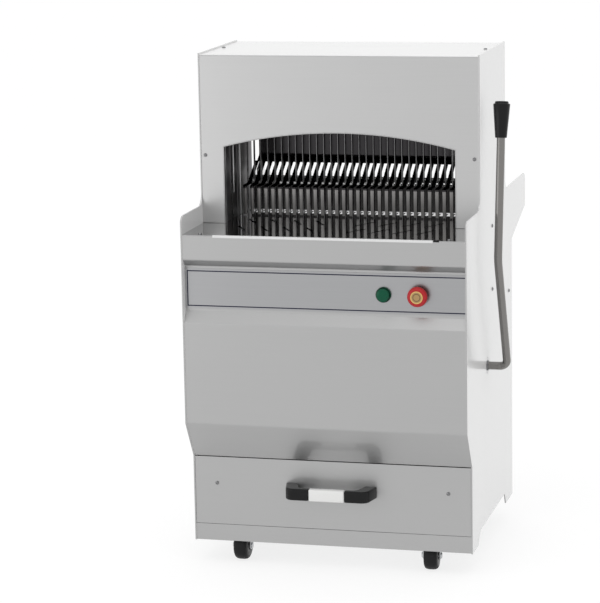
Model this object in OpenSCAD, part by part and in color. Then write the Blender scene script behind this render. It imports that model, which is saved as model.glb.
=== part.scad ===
/* [Cabinet] */
// Width over the two side panels
cabinet_w = 600; // [560:1:680]
// Depth of the cabinet from its front edge to its rear edge
cabinet_d = 542; // [530:1:600]
// Height of the hood above the table
hood_rise = 360; // [340:1:400]
// Height of the table's top face above the floor
table_z = 715; // [700:1:730]
// Height of the cabinet's bottom edge above the floor
base_z = 48; // [46:1:54]
// Thickness of a side panel
panel_t = 3; // [2:0.5:4]
// Thickness of the stainless sheets
sheet_t = 2; // [1.5:0.5:2.5]
// Set-back of the sheets behind the edges of the side panels
sheet_inset = 1.5; // [1:0.5:3]

/* [Side panel outline] */
// Depth of the table in front of the hood
hood_set = 157; // [145:1:165]
// Depth of the hood
hood_d = 302; // [296:1:312]
// Height of the side wings above the table
wing_rise = 39; // [30:1:50]
// Reach of the rear wings behind the pusher's rods
wing_reach = 92; // [80:1:120]
// Height of the rear wing's upright edge
wing_lip = 75; // [65:1:85]
// Fall of the rear wing's lower edge to the cabinet
wing_drop = 48; // [40:1:52]
// Radius of the wings' outer corners
wing_corner_r = 18; // [8:1:25]
// Radius between the wings and the hood
hood_fillet_r = 24; // [12:1:35]
// Set-back of the drawer front below the sloped skirt
kick_d = 52; // [40:1:60]
// Length of the front foot of a side panel
front_foot = 64; // [50:1:80]
// Length of the rear foot of a side panel
rear_foot = 84; // [60:1:100]
// Height of the cut between the feet
foot_cut_h = 26; // [18:1:32]
// Run of the slope at the ends of that cut
foot_slope = 32; // [20:1:40]

/* [Front cover] */
// Height of the apron under the table edge
apron_h = 52; // [45:1:60]
// Depth of the control recess
recess_d = 16; // [10:1:20]
// Height of the recess's upper slope
recess_top_h = 15; // [10:1:20]
// Height of the recess's flat face
recess_h = 94; // [88:1:100]
// Height of the recess's lower slope
recess_low_h = 24; // [16:1:30]
// Height of the drawer's bay above the plinth
bay_h = 149; // [145:1:153]
// Height of the sloped skirt
skirt_h = 81; // [75:1:90]
// Thickness of the control strip
strip_t = 1.5; // [1:0.5:2]
// Margin of the control strip inside the recess
strip_margin = 5; // [3:0.5:6]

/* [Hood] */
// Width of the hood front beside the arch
arch_jamb = 51; // [48:1:56]
// Height of the arch's springing above the table
arch_spring = 164; // [150:1:175]
// Rise of the arch
arch_rise = 32; // [20:1:45]
// Height of the rear opening above the table
rear_open_h = 192; // [188:1:210]
// Height of the side panels above the hood's top sheet
top_rim = 3; // [2:0.5:6]

/* [Drawer] */
// Height of the plinth under the drawer
plinth_h = 37; // [34:1:40]
// Gap around the drawer front
drawer_gap = 1; // [0.5:0.5:1.5]
// Room behind the crumb drawer
drawer_rear_room = 100; // [90:1:140]
// Room at each side of the crumb drawer
drawer_side_room = 32; // [28:1:46]
// Height of the crumb drawer's walls
drawer_h = 95; // [70:1:100]
// Travel of the drawer
drawer_travel = 320; // [200:1:330]
// Length of the drawer handle
handle_w = 196; // [160:1:220]
// Height of the handle's bar
handle_h = 25; // [22:1:30]
// Reach of the handle in front of the drawer
handle_reach = 50; // [40:1:56]
// Width of the handle's pale insert
insert_w = 76; // [60:1:90]

/* [Blades] */
// Pitch of the cutting blades
blade_pitch = 15.6; // [15:0.2:16]
// Thickness of a blade
blade_t = 0.8; // [0.6:0.1:1]
// Width of a blade
blade_d = 12; // [10:1:13]
// Distance of the blades behind the cabinet's front edge
blade_from_front = 323; // [318:1:328]
// Distance of each frame's plane from the middle plane, and throw of the crank
frame_off = 18; // [18:0.5:19]
// Gap between a blade frame's ends and the side panels
frame_side_gap = 8; // [5:0.5:10]
// Height of a frame's bars
bar_h = 30; // [26:1:32]
// Thickness of a frame's bars
bar_t = 20; // [18:1:20]
// Fall of the lower bar below the table
low_bar_drop = 205; // [200:1:210]
// Fall of the upper bar below the hood's top
high_bar_drop = 45; // [42:1:50]
// Diameter of the upright guide rods
rod_dia = 14; // [12:1:15]

/* [Pusher] */
// Width of a pusher tine
tine_w = 8.4; // [7:0.2:9]
// Thickness of the pusher sheet
comb_t = 3; // [2:0.5:3]
// Set of the tines in front of the blades' middle plane
tine_lead = 56; // [54:1:60]
// Height of the tines' upright part
tine_h = 63; // [58:1:66]
// Gap of the tines above the table
tine_gap = 3; // [2:0.5:5]
// Depth of the level shelf behind the tines
comb_shelf = 38; // [32:1:42]
// Run of the sloped part of the pusher
comb_run = 84; // [80:1:88]
// Rise of the sloped part of the pusher
comb_rise = 50; // [46:1:53]
// Height of the pusher's upright back plate
comb_back_h = 66; // [60:1:69]
// Throw radius of the lever's inner arm
arm_r = 248; // [244:1:250]
// Half of the lever's swing
half_swing = 24; // [22:1:25]

/* [Lever] */
// Distance of the lever pivot behind the cabinet's front edge
pivot_from_front = 236; // [232:1:242]
// Distance of the lever pivot below the table
pivot_drop = 305; // [299:1:311]
// Diameter of the lever tube
lever_dia = 17; // [15:1:20]
// Distance of the lever from the side panel
lever_out = 42; // [38:1:48]
// Forward lean of the lever's lower part
lean_low = 24; // [20:1:27]
// Backward lean of the lever's upper part
lean_high = 9; // [6:1:11]
// Length of the lever's lower part
lever_low = 257; // [245:1:270]
// Length of the lever's upper part
lever_high = 240; // [228:1:255]
// Length of the hand grip
grip_l = 75; // [70:1:90]
// Diameter of the hand grip's top
grip_dia = 35; // [30:1:38]

/* [Drive] */
// Distance of the crankshaft below the table
crank_drop = 365; // [361:1:369]
// Diameter of the crankshaft
crank_dia = 25; // [22:1:28]
// Outer diameter of the crank pulley
big_pulley = 120; // [110:1:124]
// Outer diameter of the motor pulley
small_pulley = 60; // [54:1:64]
// Diameter of the motor body
motor_dia = 140; // [124:1:142]
// Length of the motor body
motor_l = 200; // [180:1:210]
// Distance of the motor's axis behind the cabinet's front edge
motor_from_front = 161; // [150:1:170]

/* [Controls] */
// Distance of the start button from the right side
start_in = 175; // [160:1:190]
// Distance of the stop button from the right side
stop_in = 102; // [90:1:120]
// Diameter of the start button's bezel
start_dia = 32; // [28:1:34]
// Diameter of the stop button's mushroom head
stop_dia = 42; // [38:1:46]
// Travel of the start button
start_travel = 4; // [2:0.5:4]
// Travel of the stop button
stop_travel = 5; // [3:0.5:5]

/* [Casters] */
// Diameter of a caster wheel
wheel_dia = 60; // [54:1:62]
// Width of a caster wheel
wheel_w = 30; // [26:1:31]
// Distance of the casters' swivels from the sides
caster_in = 95; // [85:1:105]
// Trail of the caster wheels
caster_trail = 18; // [14:1:20]
// Distance of the front casters' swivels behind the plinth
caster_front = 58; // [56:1:70]
// Distance of the rear casters' swivels before the cabinet's rear
caster_rear = 62; // [58:1:80]

/* [Hidden] */
$fn = 64;

// Clearances
run_gap = 0.05;
body_gap = 0.4;
cut_over = 1;

// Places worked out from the cabinet
half_w = cabinet_w / 2;
hood_top_z = table_z + hood_rise;
pivot_z = table_z - pivot_drop;
crank_z = table_z - crank_drop;
arch_w = cabinet_w - 2 * arch_jamb;
caster_x = half_w - caster_in;
start_x = half_w - start_in;
stop_x = half_w - stop_in;
drawer_d = cabinet_d - kick_d - drawer_rear_room;
blades_per_frame = floor((arch_w + blade_pitch) / (2 * blade_pitch));
inner_w = cabinet_w - 2 * panel_t;
inner_x = inner_w / 2;
drawer_w = inner_w - 2 * drawer_side_room;
frame_w = inner_w - 2 * frame_side_gap;
front_y = -cabinet_d / 2;
rear_y = cabinet_d / 2;
hood_y = front_y + hood_set;
hood_rear_y = hood_y + hood_d;
wing_z = table_z + wing_rise;
kick_y = front_y + kick_d;
cover_y = front_y + sheet_inset;
apron_z = table_z - apron_h;
recess_z = apron_z - recess_top_h;
recess_low_z = recess_z - recess_h;
face_z = recess_low_z - recess_low_h;
drawer_top_z = base_z + plinth_h + bay_h;
skirt_z = drawer_top_z + skirt_h;
recess_y = cover_y + recess_d;
table_under = table_z - sheet_t;
hood_sheet_z = hood_top_z - top_rim;
blade_y = front_y + blade_from_front;
pivot_y = front_y + pivot_from_front;

// Blades in one plane, each with a tang at both ends that reaches into its own frame
tang_reach = frame_off - bar_t / 2 + bar_t / 10;
low_bar_z = table_z - low_bar_drop - bar_h;
high_bar_z = hood_top_z - high_bar_drop - bar_h;
post_w = 10;
post_x = frame_w / 2 - rod_dia - 2 * post_w + post_w / 2;
rod_x = frame_w / 2 - post_w / 2 - rod_dia / 2;
bushing_gap = 0.05;

// Pusher
tine_y = blade_y - tine_lead;
tine_low = table_z + tine_gap;
comb_bend_z = tine_low + tine_h;
shelf_y = tine_y + comb_shelf;
comb_back_y = shelf_y + comb_run;
comb_back_z = comb_bend_z + comb_rise;
tine_count = 2 * blades_per_frame - 1;
comb_w = tine_count * blade_pitch - (blade_pitch - tine_w);
slot_end_share = 0.78;
rod_place_share = 0.85;
cheek_x = comb_w / 2 - tine_w - blade_pitch / 4;
cheek_t = 6;
cheek_y = blade_y + 2 * frame_off - bar_t / 2;
carriage_d = 45;
carriage_y = cheek_y + bar_t - 3 * sheet_t;
carriage_h = 28;
carriage_top = table_under - 4 * sheet_t + sheet_t / 2;
carriage_rod_dia = 12;
carriage_rod_x = cheek_x * rod_place_share;
carriage_rod_z = carriage_top - carriage_h / 2;
stroke = 2 * arm_r * sin(half_swing);
bracket_d = 12;
carriage_rod_y = carriage_y - bracket_d - 2 * body_gap;
carriage_rod_end = carriage_y + carriage_d + stroke + bracket_d + 4 * sheet_t;
wing_y = carriage_rod_end + wing_reach;

// Lever
arm_w = 20;
arm_back = 2;
arm_eye = 30;
eye_step = 1;
arm_t = 6.5;
shaft_dia = 20;
bar_thick = 5;
bar_side = 1.5;
drag_x = -bar_thick - bar_side;
roller_dia = 16;
roller_gap = 2;
bend_r = 16;
knee_r = 40;
bush_dia = 34;
bush_flange = 46;
bush_flange_t = 5;

// Drive
crank_disc_x = 112;
crank_disc_t = 10;
crank_pin_dia = 16;
crank_pin_l = 6;
rod_t = 12;
rod_eye_r = 15;
bearing_x = 85;
bearing_w = 24;
belt_w = 12;
belt_t = 8;
pulley_w = 22;
motor_drop = 50;
motor_y = front_y + motor_from_front;
motor_z = crank_z - motor_drop;
motor_x = 30;
motor_shaft_dia = 19;
beam_h = 25;
beam_gap = 5;
beam_z = crank_z - big_pulley / 2 - beam_gap - beam_h;
shelf_t = 6;
shelf_z = motor_z - motor_dia / 2 - shelf_t - beam_gap / 5;
conrod_top = low_bar_z - rod_eye_r - cut_over;

// Buttons
button_z = recess_low_z + recess_h / 2 - sheet_t;
strip_y = recess_y - strip_t;
barrel_dia = 22;
stem_dia = 10;

// Casters
caster_turns = [-2, 2, 12, -32];
plate_t = 3;
plate_w = 60;
rail_h = 20;
rail_w = 40;
fork_top = wheel_dia + 5;
fork_t = 3;
race_h = 6;
plate_z = fork_top + fork_t + race_h;
rail_z = plate_z + plate_t;
axle_dia = 8;
caster_places = [
  [-caster_x, kick_y + caster_front],
  [caster_x, kick_y + caster_front],
  [-caster_x, rear_y - caster_rear],
  [caster_x, rear_y - caster_rear]];

// Colours
steel = "#b9bbbd";
polished = "#8e9093";
paint = "#eceded";
dark = "#2a2b2d";
black = "#161617";

// Shape helpers
function arc(c, r, a0, a1, n = 10) = [for (i = [0:n]) c + r * [cos(a0 + (a1 - a0) * i / n), sin(a0
    + (a1 - a0) * i / n)]];
function shifted(p, d) = [for (q = p) q + d];
function backwards(p) = [for (i = [len(p) - 1:-1:0]) p[i]];

// Places a drawing of depth and height across the width, from x0 over w
module across(x0, w) {
  translate([x0, 0, 0]) rotate([90, 0, 90]) linear_extrude(w) children();
}

// Places a drawing of width and height facing the front, from y0 over d
module facing(y0, d) {
  translate([0, y0 + d, 0]) rotate([90, 0, 0]) linear_extrude(d) children();
}

// A round bar across the width
module bar_x(x0, x1, y, z, dia) {
  translate([x0, y, z]) rotate([0, 90, 0]) cylinder(h = x1 - x0, d = dia);
}

// A round bar from front to back
module bar_y(x, y0, y1, z, dia) {
  translate([x, y0, z]) rotate([-90, 0, 0]) cylinder(h = y1 - y0, d = dia);
}

// A block between two corners
module block(a, b) {
  translate(a) cube(b - a);
}

// Outline of a side panel, in depth and height
module panel_outline() {
  polygon(concat(
    [[kick_y, base_z], [kick_y, drawer_top_z], [front_y, skirt_z]],
    arc([front_y + wing_corner_r, wing_z - wing_corner_r], wing_corner_r, 180, 90),
    arc([hood_y - hood_fillet_r, wing_z + hood_fillet_r], hood_fillet_r, 270, 360),
    [[hood_y, hood_top_z], [hood_rear_y, hood_top_z]],
    arc([hood_rear_y + hood_fillet_r, wing_z + hood_fillet_r], hood_fillet_r, 180, 270),
    arc([wing_y - wing_corner_r, wing_z - wing_corner_r], wing_corner_r, 90, 0),
    [[wing_y, wing_z - wing_lip], [rear_y, wing_z - wing_lip - wing_drop], [rear_y, base_z],
     [rear_y - rear_foot, base_z], [rear_y - rear_foot - foot_slope / 2, base_z + foot_cut_h],
     [kick_y + front_foot + foot_slope, base_z + foot_cut_h], [kick_y + front_foot, base_z]]));
}

module side_panel(x0) {
  difference() {
    across(x0, panel_t) panel_outline();
    bar_x(x0 - cut_over, x0 + panel_t + cut_over, pivot_y, pivot_z, bush_dia);
  }
}

module left_panel() {
  color(paint) side_panel(-half_w);
}

module right_panel() {
  color(paint) side_panel(half_w - panel_t);
}

// Front line of the folded cover, in depth and height
cover_line = [[cover_y, table_under], [cover_y, apron_z], [recess_y, recess_z], [recess_y, recess_low_z],
  [cover_y, face_z], [cover_y, skirt_z], [kick_y + sheet_inset, drawer_top_z]];

module front_cover() {
  color(steel) difference() {
    across(-inner_x, inner_w) polygon(concat(cover_line, backwards(shifted(cover_line, [sheet_t, 0]))));
    for (x = [start_x, stop_x])
      bar_y(x, recess_y - cut_over, recess_y + sheet_t + cut_over, button_z, barrel_dia);
  }
}

module control_strip() {
  color("#c3c4c8") difference() {
    block([-inner_x + strip_margin / 4, strip_y, recess_low_z + strip_margin],
          [inner_x - strip_margin / 4, recess_y, recess_z - strip_margin]);
    for (x = [start_x, stop_x])
      bar_y(x, strip_y - cut_over, recess_y + cut_over, button_z, barrel_dia);
  }
}

// Radius of the arch from its width and rise
arch_r = (arch_w * arch_w / 4 + arch_rise * arch_rise) / (2 * arch_rise);
arch_half = asin(arch_w / 2 / arch_r);
arch_centre = table_z + arch_spring + arch_rise - arch_r;

module hood_front() {
  color(steel) facing(hood_y + sheet_inset, sheet_t) difference() {
    translate([-inner_x, table_z]) square([inner_w, hood_sheet_z - sheet_t - table_z]);
    polygon(concat([[-arch_w / 2, table_z - cut_over]],
      arc([0, arch_centre], arch_r, 90 + arch_half, 90 - arch_half, 36),
      [[arch_w / 2, table_z - cut_over]]));
  }
}

module hood_top() {
  color(paint) block([-inner_x, hood_y + sheet_inset, hood_sheet_z - sheet_t],
                     [inner_x, hood_rear_y - sheet_inset, hood_sheet_z]);
}

module hood_rear() {
  color(steel) block([-inner_x, hood_rear_y - sheet_inset - sheet_t, table_z + rear_open_h],
                     [inner_x, hood_rear_y - sheet_inset, hood_sheet_z - sheet_t]);
}

// Top of the flat back cover, and the folded pan above it, under the wings and up to the loading table
back_z = wing_z - wing_lip - wing_drop;
pan_line = [[rear_y - sheet_inset, back_z], [wing_y - sheet_inset, wing_z - wing_lip],
            [wing_y - sheet_inset, table_under]];
gland_x = -inner_x * 2 / 3;
gland_z = base_z + 3 * plinth_h;
gland_dia = 20;
gland_bore = 10;
gland_flange = 30;
gland_l = 26;

module rear_cover() {
  color(steel) difference() {
    block([-inner_x, rear_y - sheet_inset - sheet_t, base_z + plinth_h],
          [inner_x, rear_y - sheet_inset, back_z]);
    bar_y(gland_x, rear_y - 2 * gland_dia, rear_y + cut_over, gland_z, gland_dia);
  }
}

module wing_pan() {
  color(steel) across(-inner_x, inner_w)
    polygon(concat(pan_line, backwards(shifted(pan_line, [-sheet_t, 0]))));
}

module power_gland() {
  color(black) difference() {
    union() {
      bar_y(gland_x, rear_y - sheet_inset, rear_y - sheet_inset + gland_l / 2, gland_z, gland_flange);
      bar_y(gland_x, rear_y - sheet_inset - gland_l / 2, rear_y, gland_z, gland_dia);
    }
    bar_y(gland_x, rear_y - gland_l, rear_y + gland_l, gland_z, gland_bore);
  }
}

// Slots of the table: blade gaps from its rear edge, and two rows of slanted slots
blade_slot = 4;
blade_slot_reach = 20;
table_rear = blade_y + blade_slot_reach;
slot_l = 62;
slot_w = 5;
slot_turn = 28;
slot_rows = [100, 190];
slot_step = 49;
slots_per_half = 4;

module slanted_slots() {
  for (row = slot_rows, side = [-1, 1], i = [1:slots_per_half])
    translate([side * i * slot_step, front_y + row])
      rotate(-side * slot_turn) square([slot_w, slot_l], center = true);
}

module blade_gaps() {
  for (i = [0:2 * blades_per_frame - 1])
    translate([(i - blades_per_frame + 0.5) * blade_pitch - blade_slot / 2, blade_y - blade_slot_reach])
      square([blade_slot, 2 * blade_slot_reach + cut_over]);
}

// Room at both sides for the blade frames and their rods
module frame_room() {
  d = 2 * frame_off + bar_t + 4 * sheet_t;
  for (side = [-1, 1]) mirror([side < 0 ? 1 : 0, 0])
    translate([guide_x + sheet_t, blade_y - d / 2]) square([inner_x, d]);
}

module delivery_table() {
  color(polished) translate([0, 0, table_under]) linear_extrude(sheet_t) difference() {
    translate([-inner_x, cover_y]) square([inner_w, table_rear - cover_y]);
    blade_gaps();
    slanted_slots();
    frame_room();
  }
}

module loading_table() {
  slot = cheek_t + 2 * sheet_t;
  color(polished) translate([0, 0, table_under]) linear_extrude(sheet_t) difference() {
    translate([-inner_x, table_rear + sheet_t])
      square([inner_w, wing_y - sheet_inset - table_rear - sheet_t]);
    frame_room();
    for (side = [-1, 1])
      translate([side * cheek_x - slot / 2, table_rear])
        square([slot, carriage_y + carriage_d + stroke + sheet_t - table_rear]);
  }
}

// Polished plates that guide the loaf beside the blades
guide_x = arch_w / 2 + sheet_t / 2;
guide_h = hood_sheet_z - table_z - 4 * bar_h;
guide_gap = 11;
guide_first = 61;
guide_second = 109;
guide_behind = 61;
guide_ends = [hood_y + sheet_inset + sheet_t, hood_y + guide_first, hood_y + guide_first + guide_gap,
  hood_y + guide_second, blade_y + guide_behind];

module guide_plates() {
  color(polished) for (side = [-1, 1]) mirror([side < 0 ? 1 : 0, 0, 0]) {
    block([guide_x, guide_ends[0], table_z], [guide_x + sheet_t, guide_ends[1], table_z + guide_h]);
    block([guide_x, guide_ends[2], table_z], [guide_x + sheet_t, guide_ends[3], table_z + guide_h]);
    block([guide_x - sheet_t / 2, guide_ends[3], table_z], [guide_x + sheet_t / 2, guide_ends[4],
        table_z + guide_h]);
  }
}

module plinth() {
  color(steel) block([-inner_x, kick_y + sheet_inset, base_z],
                     [inner_x, kick_y + sheet_inset + sheet_t, base_z + plinth_h]);
}

module base_rails() {
  color(dark) for (x = [-caster_x, caster_x])
    block([x - rail_w / 2, kick_y + sheet_inset + sheet_t, rail_z],
          [x + rail_w / 2, rear_y - sheet_inset - sheet_t, rail_z + rail_h]);
  color(dark) for (y = [kick_y + caster_front, rear_y - caster_rear], side = [-1, 1])
    block([side > 0 ? caster_x + rail_w / 2 : -inner_x, y - rail_w / 2, rail_z],
          [side > 0 ? inner_x : -caster_x - rail_w / 2, y + rail_w / 2, rail_z + rail_h]);
}

// Crumb drawer, its runners and handle
drawer_low = base_z + plinth_h + drawer_gap;
drawer_high = drawer_top_z - 2 * drawer_gap;
drawer_y = kick_y + sheet_inset;
box_t = 1.5;
runner_t = 2;
box_low = rail_z + rail_h + runner_t + body_gap;
runner_h = 24;
runner_x = drawer_w / 2 + body_gap;

module drawer_runners() {
  color(dark) for (side = [-1, 1]) mirror([side < 0 ? 1 : 0, 0, 0]) {
    block([runner_x, drawer_y + sheet_t + 2 * drawer_gap, box_low - body_gap - runner_t],
          [inner_x, drawer_y + drawer_d, box_low - body_gap]);
    block([runner_x - runner_h, drawer_y + sheet_t + 2 * drawer_gap, box_low - body_gap - runner_t],
          [runner_x, drawer_y + drawer_d, box_low - body_gap]);
  }
}

module drawer_front() {
  color(steel) block([-inner_x + drawer_gap, drawer_y, drawer_low], [inner_x - drawer_gap, drawer_y
      + sheet_t, drawer_high]);
}

module drawer_box() {
  color("#a9abad") difference() {
    block([-drawer_w / 2, drawer_y + sheet_t, box_low], [drawer_w / 2, drawer_y + drawer_d, box_low
        + drawer_h]);
    block([-drawer_w / 2 + box_t, drawer_y + sheet_t + box_t, box_low + box_t],
          [drawer_w / 2 - box_t, drawer_y + drawer_d - box_t, box_low + drawer_h + cut_over]);
  }
}

handle_share = 0.58;
handle_sweep = 11;
handle_z = drawer_low + (drawer_high - drawer_low) * handle_share;
handle_t = 14;
handle_leg = 26;
handle_corner = 14;

// Outline of the handle seen from above
module handle_plan() {
  y_face = drawer_y - handle_reach;
  front_x = handle_w / 2 - handle_sweep;
  inner_root = handle_w / 2 - handle_leg;
  inner_front = inner_root - handle_sweep;
  polygon(concat([[-handle_w / 2, drawer_y]],
    arc([-front_x + handle_corner, y_face + handle_corner], handle_corner, 180, 270),
    arc([front_x - handle_corner, y_face + handle_corner], handle_corner, 270, 360),
    [[handle_w / 2, drawer_y], [inner_root, drawer_y], [inner_front, y_face + handle_t],
     [-inner_front, y_face + handle_t], [-inner_root, drawer_y]]));
}

module drawer_handle() {
  color(black) difference() {
    translate([0, 0, handle_z - handle_h / 2]) linear_extrude(handle_h) handle_plan();
    block([-insert_w / 2, drawer_y - handle_reach - cut_over, handle_z - handle_h / 2 - cut_over],
          [insert_w / 2, drawer_y - handle_reach + handle_t + cut_over, handle_z + handle_h / 2
              + cut_over]);
  }
}

module handle_insert() {
  color("#e9e9e6") block([-insert_w / 2, drawer_y - handle_reach, handle_z - handle_h / 2],
                         [insert_w / 2, drawer_y - handle_reach + handle_t, handle_z + handle_h / 2]);
}

screw_dia = 8;
screw_head = 2.5;
drawer_screw_in = 48;
drawer_screw_drop = 57;
drawer_screw_x = inner_x - drawer_screw_in;
drawer_screw_z = drawer_high - drawer_screw_drop;

module drawer_screws() {
  color(dark) for (side = [-1, 1])
    bar_y(side * drawer_screw_x, drawer_y - screw_head, drawer_y, drawer_screw_z, screw_dia);
}

// Screws of the hood and of the side panels
hood_screw_in = 9;
hood_screw_rise = 145;
hood_screw_x = inner_x - hood_screw_in;
hood_screw_z = table_z + hood_screw_rise;
top_screw_in = 12;
top_screw_x = inner_x - top_screw_in;
top_screw_y = hood_y + hood_d / 2;
side_screw_in = 43;
side_screw_back = 58;
side_screw_drop = 15;
side_screw_low = 151;
side_screw_rear_low = 193;
side_screws = [[pivot_y + side_screw_back, table_z - side_screw_drop], [pivot_y + side_screw_back,
    table_z - side_screw_low],
  [rear_y - side_screw_in, table_z - side_screw_rear_low]];

module cabinet_screws() {
  color(dark) for (side = [-1, 1]) {
    bar_y(side * hood_screw_x, hood_y + sheet_inset - screw_head, hood_y + sheet_inset, hood_screw_z,
        screw_dia);
    translate([side * top_screw_x, top_screw_y, hood_sheet_z])
      cylinder(h = screw_head, d = screw_dia);
    for (p = side_screws)
      bar_x(side > 0 ? half_w : -half_w - screw_head, side > 0 ? half_w + screw_head : -half_w, p[0],
          p[1], screw_dia);
  }
}

// Shelf of the motor and beam of the crank
module drive_shelf() {
  color(dark) block([-inner_x, motor_y - motor_dia / 2, shelf_z], [inner_x, motor_y + motor_dia / 2,
      shelf_z + shelf_t]);
  color(dark) block([-inner_x, blade_y - bar_t, beam_z], [inner_x, blade_y + bar_t, beam_z + beam_h]);
}

module crank_bearings() {
  color("#5d6166") for (side = [-1, 1]) difference() {
    translate([side * bearing_x, 0, 0]) union() {
      block([-bearing_w / 2, blade_y - bar_t, beam_z + beam_h], [bearing_w / 2, blade_y + bar_t, crank_z]);
      bar_x(-bearing_w / 2, bearing_w / 2, blade_y, crank_z, 2 * bar_t);
    }
    bar_x(side * bearing_x - bearing_w, side * bearing_x + bearing_w, blade_y, crank_z, crank_dia
        + 2 * run_gap);
  }
}

// Half angle of the belt's lean between its two pulleys
belt_span = norm([blade_y - motor_y, crank_z - motor_z]);
belt_lean = atan2(crank_z - motor_z, blade_y - motor_y);
belt_wrap = acos((small_pulley - big_pulley) / 2 / belt_span);

// Loop of the belt at a distance outside the groove floors, in depth and height
function belt_loop(d) = concat(
  arc([motor_y, motor_z], small_pulley / 2 - belt_t + d, belt_lean + belt_wrap, belt_lean
      + 360 - belt_wrap, 20),
  arc([blade_y, crank_z], big_pulley / 2 - belt_t + d, belt_lean - belt_wrap, belt_lean + belt_wrap, 28));

module drive_belt() {
  color(black) across(-belt_w / 2, belt_w) difference() {
    polygon(belt_loop(belt_t - body_gap));
    polygon(belt_loop(body_gap));
  }
}

// A grooved pulley on an axis across the width
module grooved_pulley(y, z, dia, bore) {
  flange = (pulley_w - belt_w) / 2 - body_gap;
  difference() {
    union() {
      bar_x(-pulley_w / 2, pulley_w / 2, y, z, dia - 2 * belt_t);
      for (x = [-pulley_w / 2, pulley_w / 2 - flange])
        bar_x(x, x + flange, y, z, dia);
    }
    bar_x(-pulley_w, pulley_w, y, z, bore);
  }
}

module crank_pulley() {
  color("#6d7074") grooved_pulley(blade_y, crank_z, big_pulley, crank_dia);
}

module motor_pulley() {
  color("#6d7074") grooved_pulley(motor_y, motor_z, small_pulley, motor_shaft_dia - run_gap);
  color("#8d8f92") bar_x(-pulley_w / 2, motor_x + motor_l / 4, motor_y, motor_z, motor_shaft_dia);
}

fin_count = 20;
fin_h = 6;
fin_share = 0.7;
foot_share = 0.6;
base_share = 0.4;

module motor_body() {
  core = motor_dia - 2 * fin_h;
  color("#4d6072") difference() {
    union() {
      bar_x(motor_x, motor_x + motor_l, motor_y, motor_z, core);
      for (i = [0:fin_count - 1])
        translate([motor_x + motor_l / 10, motor_y, motor_z]) rotate([i * 360 / fin_count, 0, 0])
          block([0, -shelf_t / 4, core / 2 - fin_h], [motor_l * fin_share, shelf_t / 4, motor_dia / 2]);
      for (x = [motor_x + motor_l / 5, motor_x + motor_l * foot_share])
        block([x, motor_y - motor_dia * base_share, shelf_z + shelf_t],
              [x + bar_t, motor_y + motor_dia * base_share, motor_z - core / 4]);
    }
    bar_x(motor_x - cut_over, motor_x + motor_l / 3, motor_y, motor_z, motor_shaft_dia + 2 * run_gap);
  }
}

// Upright rods that guide the blade frames, and their holders
holder_t = 10;
holder_d = 2 * frame_off + bar_t + 2 * post_w;
low_holder_z = low_bar_z - frame_off - bar_h;
low_holder_x = rod_x - rod_dia;

module guide_rods() {
  color(polished) for (side = [-1, 1], way = [-1, 1])
    translate([side * rod_x, blade_y + way * frame_off, low_holder_z])
      cylinder(h = hood_sheet_z - sheet_t - low_holder_z, d = rod_dia);
}

module rod_holes() {
  for (side = [-1, 1], way = [-1, 1])
    translate([side * rod_x, blade_y + way * frame_off, low_holder_z - cut_over])
      cylinder(h = hood_top_z, d = rod_dia + 2 * run_gap);
}

module guide_rod_holders() {
  color(dark) difference() {
    union() {
      block([-inner_x, blade_y - holder_d / 2, hood_sheet_z - sheet_t - holder_t],
            [inner_x, blade_y + holder_d / 2, hood_sheet_z - sheet_t]);
      for (side = [-1, 1]) mirror([side < 0 ? 1 : 0, 0, 0])
        block([low_holder_x, blade_y - holder_d / 2, low_holder_z],
              [inner_x, blade_y + holder_d / 2, low_holder_z + holder_t]);
    }
    rod_holes();
  }
}

// A frame of two bars and two posts, on the front or rear side of the blades' plane
function blade_places(way) = [for (i = [0:blades_per_frame - 1])
  (2 * i - blades_per_frame + 1 + way / 2) * blade_pitch];

module blade_set(way) {
  tang_y = blade_y + way * tang_reach;
  for (x = blade_places(way)) {
    block([x - blade_t / 2, blade_y - blade_d / 2, low_bar_z + bar_h],
          [x + blade_t / 2, blade_y + blade_d / 2, high_bar_z]);
    for (z = [low_bar_z + bar_h / 2, high_bar_z - cut_over])
      block([x - blade_t / 2, min(blade_y, tang_y), z],
            [x + blade_t / 2, max(blade_y, tang_y), z + bar_h / 2 + cut_over]);
  }
}

rod_side_x = crank_disc_x + crank_disc_t + crank_pin_l + body_gap;
lug_t = 10;
lug_pin_dia = 12;

module blade_frame(way) {
  y = blade_y + way * frame_off;
  x_lug = way * (rod_side_x - body_gap);
  difference() {
    union() {
      for (z = [low_bar_z, high_bar_z])
        block([-frame_w / 2, y - bar_t / 2, z], [frame_w / 2, y + bar_t / 2, z + bar_h]);
      for (side = [-1, 1])
        block([side * post_x - post_w / 2, y - bar_t / 2, low_bar_z], [side * post_x + post_w / 2,
            y + bar_t / 2, high_bar_z]);
      block([min(x_lug, x_lug - way * lug_t), y - rod_eye_r, conrod_top - rod_eye_r],
            [max(x_lug, x_lug - way * lug_t), y + rod_eye_r, low_bar_z + cut_over]);
      bar_x(min(x_lug, x_lug + way * (rod_t + 2 * body_gap)), max(x_lug, x_lug + way * (rod_t
          + 2 * body_gap)),
            y, conrod_top, lug_pin_dia);
    }
    blade_set(way);
    rod_holes();
  }
}

module front_blade_frame() {
  color("#9a9c9f") blade_frame(-1);
}

module rear_blade_frame() {
  color("#9a9c9f") blade_frame(1);
}

module front_blades() {
  color("#c9cbce") blade_set(-1);
}

module rear_blades() {
  color("#c9cbce") blade_set(1);
}

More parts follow.
